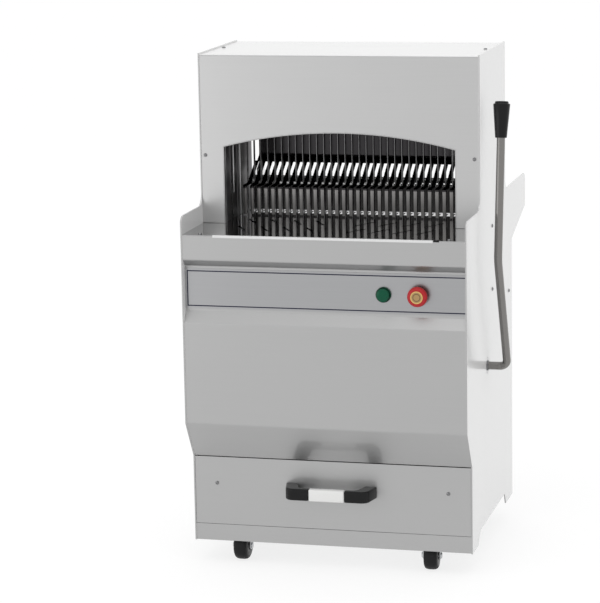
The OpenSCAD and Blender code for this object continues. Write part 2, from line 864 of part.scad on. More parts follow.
// A rod between a frame's lug and the crank, with an eye at each end
module conrod(way) {
  y = blade_y + way * frame_off;
  x = way * (rod_side_x + rod_t / 2);
  difference() {
    union() {
      bar_x(x - rod_t / 2, x + rod_t / 2, y, conrod_top, 2 * rod_eye_r);
      bar_x(x - rod_t / 2, x + rod_t / 2, y, crank_z, 2 * rod_eye_r);
      block([x - rod_t / 2, y - rod_eye_r / 2, crank_z], [x + rod_t / 2, y + rod_eye_r / 2, conrod_top]);
    }
    bar_x(x - rod_t, x + rod_t, y, conrod_top, lug_pin_dia + 2 * run_gap);
    bar_x(x - rod_t, x + rod_t, y, crank_z, crank_pin_dia + 2 * run_gap);
  }
}

module front_conrod() {
  color("#74777b") conrod(-1);
}

module rear_conrod() {
  color("#74777b") conrod(1);
}

module crankshaft() {
  color("#7f8286") bar_x(-crank_disc_x - crank_disc_t, crank_disc_x + crank_disc_t, blade_y, crank_z,
      crank_dia);
  color("#7f8286") for (way = [-1, 1]) {
    x = way * (crank_disc_x + crank_disc_t / 2);
    bar_x(x - crank_disc_t / 2, x + crank_disc_t / 2, blade_y, crank_z, 2 * frame_off + 2 * crank_pin_dia);
    x_pin = way * (crank_disc_x + crank_disc_t);
    bar_x(min(x_pin, x_pin + way * crank_pin_l), max(x_pin, x_pin + way * crank_pin_l),
          blade_y + way * frame_off, crank_z, crank_pin_dia);
  }
}

// Slotted pusher sheet that passes between the blades
comb_slope = atan2(comb_rise, comb_run);
comb_skin = comb_t / cos(comb_slope);
comb_line = [[tine_y, tine_low], [tine_y, comb_bend_z], [shelf_y, comb_bend_z],
             [comb_back_y, comb_back_z], [comb_back_y, comb_back_z + comb_back_h]];
comb_under = [[tine_y + comb_t, tine_low], [tine_y + comb_t, comb_bend_z - comb_t],
              [shelf_y + comb_t * tan(comb_slope / 2), comb_bend_z - comb_t],
              [comb_back_y + comb_t, comb_back_z - comb_skin + comb_t * tan(comb_slope)],
              [comb_back_y + comb_t, comb_back_z + comb_back_h]];

module pusher_comb() {
  color(polished) difference() {
    across(-comb_w / 2, comb_w) polygon(concat(comb_line, backwards(comb_under)));
    for (i = [0:tine_count - 2])
      block([-comb_w / 2 + i * blade_pitch + tine_w, tine_y - cut_over, tine_low - cut_over],
            [-comb_w / 2 + (i + 1) * blade_pitch, shelf_y + comb_run * slot_end_share, comb_back_z]);
  }
}

// Height of the underside of the pusher's slope at a depth
function comb_floor(y) = comb_bend_z - comb_skin + (y - shelf_y) * tan(comb_slope);
tie_dia = 8;
tie_y = cheek_y + tie_dia;
tie_heights = [table_z + 2 * tie_dia, comb_bend_z - 2 * tie_dia];

module pusher_cheeks() {
  color("#77797d") for (side = [-1, 1]) across(side * cheek_x - cheek_t / 2, cheek_t)
    polygon([[cheek_y, carriage_top], [carriage_y + carriage_d, carriage_top], [carriage_y
        + carriage_d, table_z + cheek_t],
             [comb_back_y, comb_floor(comb_back_y)], [cheek_y, comb_floor(cheek_y)]]);
  color("#77797d") for (z = tie_heights)
    bar_x(-cheek_x + cheek_t / 2, cheek_x - cheek_t / 2, tie_y, z, tie_dia);
}

carriage_half = cheek_x + cheek_t;

module pusher_carriage() {
  color("#63666a") difference() {
    block([-carriage_half, carriage_y, carriage_top - carriage_h], [carriage_half, carriage_y
        + carriage_d, carriage_top]);
    for (side = [-1, 1])
      bar_y(side * carriage_rod_x, carriage_y - cut_over, carriage_y + carriage_d + cut_over,
          carriage_rod_z,
            carriage_rod_dia + 2 * run_gap);
  }
  color("#63666a") for (side = [-1, 1])
    block([side * cheek_x - cheek_t / 2, cheek_y, carriage_top - cheek_t], [side * cheek_x
        + cheek_t / 2, carriage_y, carriage_top]);
}

module carriage_rods() {
  color(polished) for (side = [-1, 1])
    bar_y(side * carriage_rod_x, carriage_rod_y, carriage_rod_end, carriage_rod_z, carriage_rod_dia);
}

module carriage_holders() {
  color(dark) difference() {
    for (side = [-1, 1], y = [carriage_rod_y, carriage_rod_end - bracket_d])
      block([side * carriage_rod_x - carriage_rod_dia, y, carriage_rod_z - carriage_rod_dia],
            [side * carriage_rod_x + carriage_rod_dia, y + bracket_d, table_under]);
    for (side = [-1, 1])
      bar_y(side * carriage_rod_x, carriage_rod_y - cut_over, carriage_rod_end + cut_over, carriage_rod_z,
            carriage_rod_dia + 2 * run_gap);
  }
}

module rod_holders() {
  guide_rod_holders();
  carriage_holders();
}

// Bar from the carriage to the arm, with an upright slot for the arm's roller
roller_y = pivot_y - arm_r * sin(half_swing);
roller_low = pivot_z + arm_r * cos(half_swing);
yoke_slot_w = roller_dia + 2 * roller_gap;
yoke_wall = 10;
yoke_low = roller_low - roller_dia / 2 - roller_gap;
yoke_high = pivot_z + arm_r + roller_dia / 2 + roller_gap;
drag_top = carriage_top - carriage_h;
drag_h = 20;

module drag_bar() {
  color("#77797d") across(drag_x, bar_thick) difference() {
    union() {
      translate([roller_y - yoke_slot_w / 2 - yoke_wall, yoke_low - yoke_wall])
        square([yoke_slot_w + 2 * yoke_wall, drag_top - yoke_low + yoke_wall]);
      translate([roller_y, drag_top - drag_h]) square([carriage_y + carriage_d - roller_y, drag_h]);
    }
    translate([roller_y - yoke_slot_w / 2, yoke_low]) square([yoke_slot_w, yoke_high - yoke_low]);
  }
}

module lever_bushes() {
  color("#8a8c8f") for (side = [-1, 1]) difference() {
    union() {
      bar_x(side > 0 ? inner_x - bush_flange_t : -half_w, side > 0 ? half_w : -inner_x
          + bush_flange_t, pivot_y, pivot_z, bush_dia);
      bar_x(side > 0 ? inner_x - bush_flange_t : -inner_x, side > 0 ? inner_x : -inner_x
          + bush_flange_t, pivot_y, pivot_z, bush_flange);
    }
    bar_x(-cabinet_w, cabinet_w, pivot_y, pivot_z, shaft_dia + 2 * run_gap);
  }
}

arm_x = drag_x + bar_thick + body_gap;

module lever_shaft() {
  color("#8a8c8f") bar_x(-half_w + panel_t / 2, half_w, pivot_y, pivot_z, shaft_dia);
  color("#8a8c8f") bar_x(arm_x + eye_step, arm_x + 4 * arm_t, pivot_y, pivot_z, 2 * shaft_dia);
  color("#8a8c8f") translate([0, pivot_y, pivot_z]) rotate([half_swing, 0, 0])
    block([arm_x, arm_back - arm_w, 0], [arm_x + arm_t, arm_back, arm_r]);
  color("#8a8c8f") bar_x(arm_x + eye_step, arm_x + arm_t + eye_step, roller_y, roller_low, arm_eye);
  color("#8a8c8f") bar_x(drag_x, arm_x + arm_t / 2, roller_y, roller_low, roller_dia);
}

// Bent lever bar outside the right panel, swept along its middle line
lever_turn = lean_low + lean_high;
ring_count = 36;
bend_count = 10;
knee_count = 6;
upper_l = lever_high + grip_l / 2;
stub_l = lever_out - bend_r;

// Stations of the middle line: a point, then the two directions across the bar there
bend_line = [for (i = [0:bend_count]) let (a = 90 * i / bend_count)
  [[stub_l + bend_r * sin(a), 0, bend_r - bend_r * cos(a)], [0, 1, 0], [-sin(a), 0, cos(a)]]];
knee_line = [for (i = [0:knee_count]) let (a = lever_turn * i / knee_count)
  [[lever_out, knee_r - knee_r * cos(a), lever_low + knee_r * sin(a)], [0, cos(a), -sin(a)], [-1, 0, 0]]];
knee_end = knee_line[knee_count];
lever_end = [knee_end[0] + upper_l * [0, sin(lever_turn), cos(lever_turn)], knee_end[1], knee_end[2]];
lever_line = concat([[[0, 0, 0], [0, 1, 0], [0, 0, 1]]], bend_line, knee_line, [lever_end]);

module at_lever_top() {
  translate([half_w, pivot_y, pivot_z]) rotate([lean_low, 0, 0]) translate(knee_end[0])
    rotate([-lever_turn, 0, 0]) children();
}

module lever_tube() {
  last = len(lever_line) - 1;
  points = [for (s = lever_line, k = [0:ring_count - 1])
    s[0] + lever_dia / 2 * (cos(360 * k / ring_count) * s[1] + sin(360 * k / ring_count) * s[2])];
  sides = [for (i = [0:last - 1], k = [0:ring_count - 1]) let (n = (k + 1) % ring_count)
    [i * ring_count + k, (i + 1) * ring_count + k, (i + 1) * ring_count + n, i * ring_count + n]];
  ends = [[for (k = [0:ring_count - 1]) k], [for (k = [ring_count - 1:-1:0]) last * ring_count + k]];
  color("#a3a5a6") translate([half_w, pivot_y, pivot_z]) rotate([lean_low, 0, 0])
    polyhedron(points, concat(sides, ends));
}

grip_low_share = 0.7;
grip_dome_share = 0.12;

module lever_grip() {
  r = grip_dia / 2;
  dome = grip_l * grip_dome_share;
  color(black) at_lever_top() translate([0, 0, lever_high]) difference() {
    rotate_extrude() polygon(concat([[0, 0], [r * grip_low_share, 0], [r, grip_l - dome]],
      [for (a = [15:15:90]) [r - dome + dome * cos(a), grip_l - dome + dome * sin(a)]], [[0, grip_l]]));
    translate([0, 0, -cut_over]) cylinder(h = grip_l / 2 + cut_over + body_gap, d = lever_dia
        + 2 * run_gap);
  }
}

// Buttons and their collars
collar_h = 6;
cap_h = 7;
dome_h = 12;
stop_stand = 12;
barrel_l = 30;
button_gap = 0.1;
well_floor = 1.5;
cap_share = 0.88;
collar_share = 0.8;
cap_back = strip_y - well_floor - start_travel - body_gap;

module button_collar(x, dia, h) {
  difference() {
    union() {
      bar_y(x, strip_y - h, strip_y, button_z, dia);
      bar_y(x, strip_y - cut_over, strip_y + barrel_l, button_z, barrel_dia - 2 * run_gap);
    }
    bar_y(x, strip_y - 2 * h, strip_y + 2 * barrel_l, button_z, stem_dia + 2 * button_gap);
  }
}

module start_bezel() {
  color("#70757a") difference() {
    button_collar(start_x, start_dia, collar_h);
    bar_y(start_x, strip_y - 2 * collar_h, strip_y - well_floor, button_z, start_dia * cap_share);
  }
}

module stop_collar() {
  color("#e0b528") button_collar(stop_x, start_dia * collar_share, collar_h);
}

module start_button() {
  color("#0e7a45") bar_y(start_x, cap_back - cap_h, cap_back, button_z,
      start_dia * cap_share - 2 * body_gap);
  color("#0e7a45") bar_y(start_x, cap_back - cut_over, strip_y + barrel_l - start_travel - cut_over,
      button_z, stem_dia);
}

module stop_button() {
  y_back = strip_y - collar_h - stop_travel - body_gap;
  color("#c3202c") translate([stop_x, y_back, button_z]) rotate([90, 0, 0]) rotate_extrude()
    polygon(concat([[0, 0], [stop_dia / 2, 0]],
      [for (a = [0:15:90]) [stop_dia / 2 - dome_h / 2 + dome_h / 2 * cos(a),
          stop_stand - dome_h / 2 + dome_h / 2 * sin(a)]],
      [[0, stop_stand]]));
  color("#c3202c") bar_y(stop_x, y_back - cut_over, strip_y + barrel_l - stop_travel - cut_over,
      button_z, stem_dia);
}

module control_box() {
  pad = barrel_dia;
  color("#d8d9da") block([start_x - pad, strip_y + barrel_l, button_z - pad],
                         [stop_x + pad, strip_y + barrel_l + 2 * pad, button_z + pad]);
}

// Casters: plates under the rails, swivel forks and wheels
module caster_plates() {
  color("#8f9295") for (p = caster_places) translate([p[0], p[1], 0]) {
    block([-plate_w / 2, -plate_w / 2, plate_z], [plate_w / 2, plate_w / 2, rail_z]);
    translate([0, 0, fork_top + fork_t + body_gap]) cylinder(h = race_h - body_gap, d = rail_w);
    translate([0, 0, fork_top - fork_t]) cylinder(h = 3 * fork_t, d = axle_dia);
  }
}

fork_arm = 2.5;
crown_dia = wheel_w + 4 * sheet_t + 4 * fork_arm;
crown_back_share = 0.25;
crown_front_share = 0.45;
wheel_z = wheel_dia / 2;

module at_caster(i) {
  translate([caster_places[i][0], caster_places[i][1], 0]) rotate([0, 0, caster_turns[i]]) children();
}

module caster_fork(i) {
  gap = wheel_w + 2 * sheet_t;
  color("#8f9295") at_caster(i) difference() {
    union() {
      translate([0, 0, fork_top]) cylinder(h = fork_t, d = crown_dia);
      for (side = [-1, 1]) across(side > 0 ? gap / 2 : -gap / 2 - fork_arm, fork_arm)
        polygon([[rail_w * crown_back_share, fork_top + fork_t], [-rail_w * crown_front_share,
            fork_top + fork_t],
                 [-caster_trail - axle_dia, wheel_z - axle_dia], [-caster_trail + axle_dia,
                     wheel_z - axle_dia]]);
      bar_x(-gap / 2 - 2 * fork_arm, gap / 2 + 2 * fork_arm, -caster_trail, wheel_z, axle_dia);
    }
    translate([0, 0, fork_top - cut_over]) cylinder(h = 2 * fork_t, d = axle_dia + 2 * run_gap);
  }
}

module caster_wheel(i) {
  tread = wheel_w / 6;
  r = wheel_dia / 2;
  color(black) at_caster(i) translate([0, -caster_trail, wheel_z]) rotate([0, 90, 0])
    rotate_extrude() polygon(concat([[axle_dia / 2 + run_gap, -wheel_w / 2], [r - tread, -wheel_w / 2]],
      [for (a = [-90:15:90]) [r - tread + tread * cos(a), (a < 0 ? -1 : 1) * (wheel_w / 2 - tread)
          + tread * sin(a)]],
      [[r - tread, wheel_w / 2], [axle_dia / 2 + run_gap, wheel_w / 2]]));
}

module caster_fork_fl() { caster_fork(0); }
module caster_fork_fr() { caster_fork(1); }
module caster_fork_rl() { caster_fork(2); }
module caster_fork_rr() { caster_fork(3); }
module caster_wheel_fl() { caster_wheel(0); }
module caster_wheel_fr() { caster_wheel(1); }
module caster_wheel_rl() { caster_wheel(2); }
module caster_wheel_rr() { caster_wheel(3); }

left_panel();
right_panel();
front_cover();
control_strip();
hood_front();
hood_top();
hood_rear();
rear_cover();
wing_pan();
delivery_table();
loading_table();
guide_plates();
plinth();
base_rails();
drawer_runners();
drive_shelf();
crank_bearings();
motor_body();
drive_belt();
guide_rods();
rod_holders();
carriage_rods();
lever_bushes();
start_bezel();
stop_collar();
control_box();
power_gland();
cabinet_screws();
caster_plates();
drawer_front();
drawer_box();
drawer_handle();
handle_insert();
drawer_screws();
lever_tube();
lever_grip();
lever_shaft();
pusher_comb();
pusher_cheeks();
pusher_carriage();
drag_bar();
front_blade_frame();
front_blades();
rear_blade_frame();
rear_blades();
front_conrod();
rear_conrod();
crankshaft();
crank_pulley();
motor_pulley();
start_button();
stop_button();
caster_fork_fl();
caster_fork_fr();
caster_fork_rl();
caster_fork_rr();
caster_wheel_fl();
caster_wheel_fr();
caster_wheel_rl();
caster_wheel_rr();
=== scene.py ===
# %% [markdown]
# # A bakery bread slicer
# The real machine is a folded stainless cabinet between two painted side panels. A hood with an arched mouth
# stands over a polished table, blades stand inside it, and a comb moved by a long lever drives the loaf through.
# The CAD frame gives every place and every moving body. Here the visible skin is modelled again with rounded
# bends, rims and fittings, and each surface gets a finish of its own.

# %% Load the frame
import math

import bpy
from mathutils import Matrix, Vector


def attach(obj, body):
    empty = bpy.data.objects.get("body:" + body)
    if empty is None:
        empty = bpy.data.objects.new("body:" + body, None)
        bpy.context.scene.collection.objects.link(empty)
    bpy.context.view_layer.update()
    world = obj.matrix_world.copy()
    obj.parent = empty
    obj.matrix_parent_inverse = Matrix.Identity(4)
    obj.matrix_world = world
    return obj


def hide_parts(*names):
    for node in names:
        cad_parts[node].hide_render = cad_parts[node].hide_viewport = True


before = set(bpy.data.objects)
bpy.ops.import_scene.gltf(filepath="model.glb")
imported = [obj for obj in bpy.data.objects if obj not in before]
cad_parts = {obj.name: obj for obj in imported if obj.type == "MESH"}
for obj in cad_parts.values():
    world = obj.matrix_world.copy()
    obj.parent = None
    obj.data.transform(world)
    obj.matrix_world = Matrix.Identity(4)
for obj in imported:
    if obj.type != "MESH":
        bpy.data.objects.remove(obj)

scene = bpy.context.scene
scene.view_settings.view_transform = "Standard"
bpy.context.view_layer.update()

# %% [markdown]
# ## Working by hand, in code
# Every piece starts from a primitive. An operator acts on whatever is selected, so each helper clears the
# selection first. Lengths below are written in millimetres, as on a drawing, and turned into metres in one place.

# %% Selecting
MM = 0.001


def mm(x, y, z):
    """A place on the drawing, in metres."""
    return Vector((x, y, z)) * MM


def clear_selection():
    if bpy.context.mode != "OBJECT":
        bpy.ops.object.mode_set(mode="OBJECT")
    bpy.ops.object.select_all(action="DESELECT")


def pick(piece):
    clear_selection()
    piece.select_set(True)
    bpy.context.view_layer.objects.active = piece
    return piece


def named(name):
    piece = bpy.context.object
    piece.name = name
    piece.data.name = name
    return piece


def edit_all(piece):
    """Into edit mode with the whole piece selected."""
    pick(piece)
    bpy.ops.object.mode_set(mode="EDIT")
    bpy.ops.mesh.select_all(action="SELECT")


def leave_edit():
    bpy.ops.object.mode_set(mode="OBJECT")


print("drawing scale", MM, "m")


# %% Moving
def settle(piece):
    """Writes a piece's place, turn and size into its mesh."""
    pick(piece)
    bpy.ops.object.transform_apply(location=True, rotation=True, scale=True)
    return piece


def moved(piece, matrix):
    piece.matrix_world = matrix @ piece.matrix_world
    return settle(piece)


def standing(base, axis):
    """The matrix that stands a piece's Z axis along another axis, at a place."""
    turn = Vector((0, 0, 1)).rotation_difference(Vector(axis)).to_matrix().to_4x4()
    return Matrix.Translation(mm(*base)) @ turn


print("upright at 10 mm:", tuple(round(v, 3) for v in standing((0, 0, 10), (0, 0, 1)).translation))

# %% [markdown]
# ## Starting shapes
# Three ways of making a solid cover the whole machine: a block, a flat outline that is pulled out into a plate, and
# half a section that is spun round an axis. Pulling and spinning can leave doubled corners and faces that look
# inwards, so both end with a clean-up.

# %% Blocks
WELD = 1e-6


def tidy_faces(piece):
    edit_all(piece)
    bpy.ops.mesh.remove_doubles(threshold=WELD)
    bpy.ops.mesh.delete_loose()
    bpy.ops.mesh.select_all(action="SELECT")
    bpy.ops.mesh.normals_make_consistent(inside=False)
    leave_edit()
    return piece


def add_block(name, low, high):
    clear_selection()
    low, high = mm(*low), mm(*high)
    bpy.ops.mesh.primitive_cube_add(size=1, location=(low + high) / 2, scale=high - low)
    return settle(named(name))


print("corners closer than", WELD, "m are welded")


# %% Plates
def add_sheet(name, corners, depth):
    """A flat face with its corners where they are asked for, pulled out into a plate."""
    clear_selection()
    bpy.ops.mesh.primitive_circle_add(vertices=len(corners), fill_type="NGON")
    piece = named(name)
    for vertex, corner in zip(piece.data.vertices, corners):
        vertex.co = mm(*corner)
    edit_all(piece)
    bpy.ops.mesh.extrude_region_move(TRANSFORM_OT_translate={"value": mm(*depth)})
    leave_edit()
    return tidy_faces(piece)


def across(name, outline, x0, x1):
    """A plate drawn in depth and height, pulled across the width."""
    return add_sheet(name, [(x0, p[0], p[1]) for p in outline], (x1 - x0, 0, 0))


def facing(name, outline, y0, y1):
    """A plate drawn in width and height, pulled from front to back."""
    return add_sheet(name, [(p[0], y0, p[1]) for p in outline], (0, y1 - y0, 0))


def lying(name, outline, z0, z1):
    """A plate drawn in width and depth, pulled upwards."""
    return add_sheet(name, [(p[0], p[1], z0) for p in outline], (0, 0, z1 - z0))


print("plates are drawn across, facing or lying")

# %% Turned pieces
FULL_TURN = 2 * math.pi
BAR_CHAMFER = 0.8


def add_lathe(name, profile, base, axis=(0, 0, 1), steps=48):
    """A closed outline of radius and height, spun round an axis that starts at base."""
    clear_selection()
    bpy.ops.mesh.primitive_circle_add(vertices=len(profile), fill_type="NOTHING")
    piece = named(name)
    for vertex, (radius, height) in zip(piece.data.vertices, profile):
        vertex.co = mm(radius, 0, height)
    edit_all(piece)
    bpy.ops.mesh.spin(steps=steps, angle=FULL_TURN, center=(0, 0, 0), axis=(0, 0, 1))
    leave_edit()
    return moved(tidy_faces(piece), standing(base, axis))


def add_bar(name, start, end, dia, steps=32):
    """A round bar with a small chamfer at both ends."""
    start, end = Vector(start), Vector(end)
    length, r = (end - start).length, dia / 2
    c = min(BAR_CHAMFER, r * 0.2)
    profile = [(0, 0), (r - c, 0), (r, c), (r, length - c), (r - c, length), (0, length)]
    return add_lathe(name, profile, start, end - start, steps)


print("bars have a chamfer of up to", BAR_CHAMFER, "mm")

# %% [markdown]
# ## Finishing a shape
# No real edge is perfectly sharp, so plates get a fine bevel. Smooth shading then rounds the bevel, but it would
# also bend the light on the large flat sheets, so broad faces and faces with many corners stay flat.

# %% Bevels and shading
BROAD_FACE = 0.004  # square metres
MANY_CORNERS = 8


def smooth(piece, angle=38):
    pick(piece)
    bpy.ops.object.shade_smooth_by_angle(angle=math.radians(angle))
    for face in piece.data.polygons:
        if len(face.vertices) > MANY_CORNERS or face.area > BROAD_FACE:
            face.use_smooth = False
    return piece


def soften(piece, width, segments=2, angle=50):
    pick(piece)
    bpy.ops.object.modifier_add(type="BEVEL")
    bevel = piece.modifiers[-1]
    bevel.width = width * MM
    bevel.segments = segments
    bevel.limit_method = "ANGLE"
    bevel.angle_limit = math.radians(angle)
    bpy.ops.object.modifier_apply(modifier=bevel.name)
    return smooth(piece)


print("faces over", BROAD_FACE, "square metres stay flat")


# %% Cutting, copying and joining
def removed(piece):
    pick(piece)
    bpy.ops.object.delete()


def cut(piece, tool):
    """Takes the tool's shape out of the piece, and the tool away."""
    pick(piece)
    bpy.ops.object.modifier_add(type="BOOLEAN")
    hole = piece.modifiers[-1]
    hole.operation = "DIFFERENCE"
    hole.object = tool
    hole.solver = "EXACT"
    bpy.ops.object.modifier_apply(modifier=hole.name)
    removed(tool)
    return piece


def copied(piece, name, matrix):
    """A copy with a mesh of its own, moved to its place."""
    pick(piece)
    bpy.ops.object.duplicate(linked=False)
    return moved(named(name), matrix)


def joined(name, pieces):
    clear_selection()
    for piece in pieces:
        piece.select_set(True)
    bpy.context.view_layer.objects.active = pieces[0]
    bpy.ops.object.join()
    return named(name)


print("cut, copied and joined are ready")

# %% [markdown]
# ## Outlines of folded sheet
# A sheet that is folded on a press has a small radius at each bend. The line is drawn with sharp corners, as on
# the drawing, each corner is turned on its radius, and the line is then shifted by the sheet's thickness.

# %% Rounded lines
STRAIGHT = math.radians(89)
LEAST_RADIUS = 0.01
EDGE_SHARE = 0.45  # a bend uses less than half of each line beside it


def bend(here, before, after, radius, steps):
    """The points of one corner, turned on a radius."""
    a, b = (before - here).normalized(), (after - here).normalized()
    half = math.acos(max(-1, min(1, a.dot(b)))) / 2
    if half > STRAIGHT:
        return [here]
    r = min(radius, EDGE_SHARE * min((before - here).length, (after - here).length) * math.tan(half))
    if r < LEAST_RADIUS:
        return [here]
    centre = here + (a + b).normalized() * (r / math.sin(half))
    start, end = here + a * (r / math.tan(half)) - centre, here + b * (r / math.tan(half)) - centre
    sweep = math.pi - 2 * half
    side = 1 if start.x * end.y - start.y * end.x > 0 else -1
    turns = [side * sweep * k / steps for k in range(steps + 1)]
    return [centre + Vector((start.x * math.cos(t) - start.y * math.sin(t),
                             start.x * math.sin(t) + start.y * math.cos(t))) for t in turns]


def rounded_line(points, radius, steps=5, closed=False):
    """A line through flat points with each inner corner turned on a radius, or on a list of them."""
    points = [Vector(p) for p in points]
    radii = radius if isinstance(radius, (list, tuple)) else [radius] * len(points)
    out = []
    for i, here in enumerate(points):
        if not closed and i in (0, len(points) - 1):
            out.append(here)
        else:
            out += bend(here, points[i - 1], points[(i + 1) % len(points)], radii[i], steps)
    return out


print("a square corner on 5 mm has", len(rounded_line([(0, 0), (50, 0), (50, 50)], 5)) - 2, "points")

# %% Thickened lines
LEAST_LEAN = 0.3


def thickened(line, t):
    """A closed outline: the line, and the same line shifted sideways by the sheet's thickness."""
    other = []
    for i, p in enumerate(line):
        a = (line[i] - line[i - 1]).normalized() if i else (line[1] - line[0]).normalized()
        b = (line[i + 1] - line[i]).normalized() if i + 1 < len(line) else a
        n = Vector((-(a + b).y, (a + b).x)).normalized()
        lean = max(LEAST_LEAN, n.dot(Vector((-a.y, a.x))))
        other.append(p + n * (t / lean))
    return list(line) + other[::-1]


print("a straight line thickens to", len(thickened([Vector((0, 0)), Vector((50, 0))], 2)), "corners")

# %% [markdown]
# ## Finishes
# Sheet steel gets its look from how it was worked: brushing leaves long fine lines that stretch the highlights,
# polishing leaves a mirror with faint smears, paint has a slight orange peel. Each finish is a Principled shader
# whose roughness, colour and bump come from noise in the piece's own coordinates, stretched the way the work ran.

# %% Noise of the work
NOISE_LOW, NOISE_HIGH = 0.25, 0.75  # most of the noise falls between these
PATCH_SHARE, PATCH_MOST = 0.3, 0.9


def feed(tree, node, **values):
    """Sets a node's sockets, or links them to another node's output. An underscore stands for a space."""
    for name, value in values.items():
        socket = node.inputs[name.replace("_", " ")]
        if isinstance(value, bpy.types.NodeSocket):
            tree.links.new(value, socket)
        else:
            socket.default_value = value
    return node


def add_node(tree, kind, data_type=None, **values):
    node = tree.nodes.new(kind)
    if data_type:
        node.data_type = data_type
    return feed(tree, node, **values)


def work_noise(tree, grain, smear):
    """Fine noise stretched along the work, and the same noise mixed with broad soft patches."""
    where = add_node(tree, "ShaderNodeTexCoord").outputs["Object"]
    stretch = add_node(tree, "ShaderNodeMapping", Vector=where, Scale=grain).outputs["Vector"]
    fine = add_node(tree, "ShaderNodeTexNoise", Vector=stretch, Scale=1.0, Detail=5.0).outputs["Fac"]
    broad = add_node(tree, "ShaderNodeTexNoise", Vector=where, Scale=5.0, Detail=3.0).outputs["Fac"]
    share = min(PATCH_MOST, PATCH_SHARE + smear)
    mixed = add_node(tree, "ShaderNodeMix", "FLOAT", Factor=share, A=fine, B=broad)
    return fine, mixed.outputs["Result"]


print("noise is read from", NOISE_LOW, "to", NOISE_HIGH)

# %% Roughness, colour and wear
LEAST_ROUGH = 0.02
SHARP_LOW, SHARP_HIGH = 0.52, 0.62  # pointiness where paint starts to rub, and where it has rubbed most
RUB_GAIN, RUB_LIFT = 1.5, 0.05


def vary_roughness(tree, noise, rough, vary):
    spread = add_node(tree, "ShaderNodeMapRange", Value=noise, From_Min=NOISE_LOW, From_Max=NOISE_HIGH,
                      To_Min=max(LEAST_ROUGH, rough - vary), To_Max=min(1.0, rough + vary))
    return spread.outputs["Result"]


def vary_colour(tree, noise, color, tone):
    shades = add_node(tree, "ShaderNodeValToRGB", Fac=noise)
    dark, light = shades.color_ramp.elements
    dark.position, light.position = NOISE_LOW, NOISE_HIGH
    dark.color = (*[c * (1 - tone) for c in color], 1)
    light.color = (*[min(1, c * (1 + tone)) for c in color], 1)
    return shades.outputs["Color"]


def rub_edges(tree, shade, color, worn):
    """Paint that is rubbed paler along its sharp edges."""
    edge = add_node(tree, "ShaderNodeNewGeometry").outputs["Pointiness"]
    sharp = add_node(tree, "ShaderNodeMapRange", Value=edge, From_Min=SHARP_LOW, From_Max=SHARP_HIGH, To_Max=worn)
    pale = (*[min(1, c * RUB_GAIN + RUB_LIFT) for c in color], 1)
    rub = add_node(tree, "ShaderNodeMix", "RGBA", Factor=sharp.outputs["Result"], A=shade, B=pale)
    return rub.outputs["Result"]


print("edges rub from pointiness", SHARP_LOW)

# %% Finish builder
BUMP_STRENGTH = 0.35


def finish(name, color, rough, metal=0.0, grain=(300, 300, 300), vary=0.08, bump=0.0, tone=0.06, coat=0.0,
           smear=0.0, worn=0.0, gloss=0.5, rim=1.0, coat_rough=0.08, coat_ior=1.5):
    """A finish built from nodes. Grain is noise per metre along each axis, bump its depth in millimetres."""
    material = bpy.data.materials.new(name)
    material.use_nodes = True
    tree = material.node_tree
    fine, mixed = work_noise(tree, grain, smear)
    shade = vary_colour(tree, mixed, color, tone)
    if worn:
        shade = rub_edges(tree, shade, color, worn)
    shader = feed(tree, tree.nodes["Principled BSDF"], Base_Color=shade, Metallic=metal,
                  Roughness=vary_roughness(tree, mixed, rough, vary), Specular_IOR_Level=gloss,
                  Specular_Tint=(rim, rim, rim, 1), Coat_Weight=coat, Coat_Roughness=coat_rough, Coat_IOR=coat_ior)
    if bump:
        relief = add_node(tree, "ShaderNodeBump", Height=fine, Strength=BUMP_STRENGTH, Distance=bump * MM)
        feed(tree, shader, Normal=relief.outputs["Normal"])
    return material


def steel(name, color, rough, **work):
    return finish(name, color, rough, metal=1.0, **work)


def even(n):
    """The same number three times: a neutral grey, or grain with no direction."""
    return (n, n, n)


print("bump strength", BUMP_STRENGTH)

# %% Sheet steel
LINES_X, LINES_Z = (6, 700, 700), (700, 700, 6)  # brushed across the width, brushed upwards
satin = steel("satin_stainless", even(0.418), 0.46, grain=LINES_X, vary=0.05, bump=0.012, tone=0.035, smear=0.15,
              coat=0.5, coat_ior=2.0)
satin_hood = steel("satin_hood", even(0.502), 0.36, grain=LINES_X, vary=0.05, bump=0.012, tone=0.03, smear=0.15,
                   coat=0.4, coat_rough=0.18, coat_ior=2.0)
mirror_table = steel("polished_table", even(0.4), 0.07, grain=(40, 300, 300), vary=0.04, tone=0.05, smear=0.4)
# The comb's back and slope: the comb's own steel painted near black, a painted shade under the hood.
comb_steel_painted_shade = steel("comb_polish_painted_shade", (0.042, 0.04, 0.042), 0.16, grain=(300, 300, 20), vary=0.06, tone=0.1, smear=0.4,
                    rim=0.12)
guide_satin = steel("guide_polish", (0.3, 0.296, 0.3), 0.3, grain=(300, 300, 12), vary=0.05, tone=0.1, smear=0.4,
                    rim=0.4)
fold_bright = steel("fold_bright", even(0.82), 0.3, grain=(300, 300, 12), vary=0.05, tone=0.04)
# The plate behind the comb: near black, a painted shade between the tines.
painted_shade_steel = steel("painted_shade_steel", (0.11, 0.106, 0.106), 0.4, grain=LINES_X, tone=0.12, smear=0.2, rim=0.3)
bead_polish = steel("bead_polish", (0.88, 0.88, 0.87), 0.06, grain=LINES_X, vary=0.04, tone=0.04)
tine_satin = steel("tine_satin", (0.23, 0.224, 0.22), 0.3, grain=(300, 300, 20), vary=0.06, bump=0.008, smear=0.2)
print("sheet finishes from", satin.name, "to", tine_satin.name)

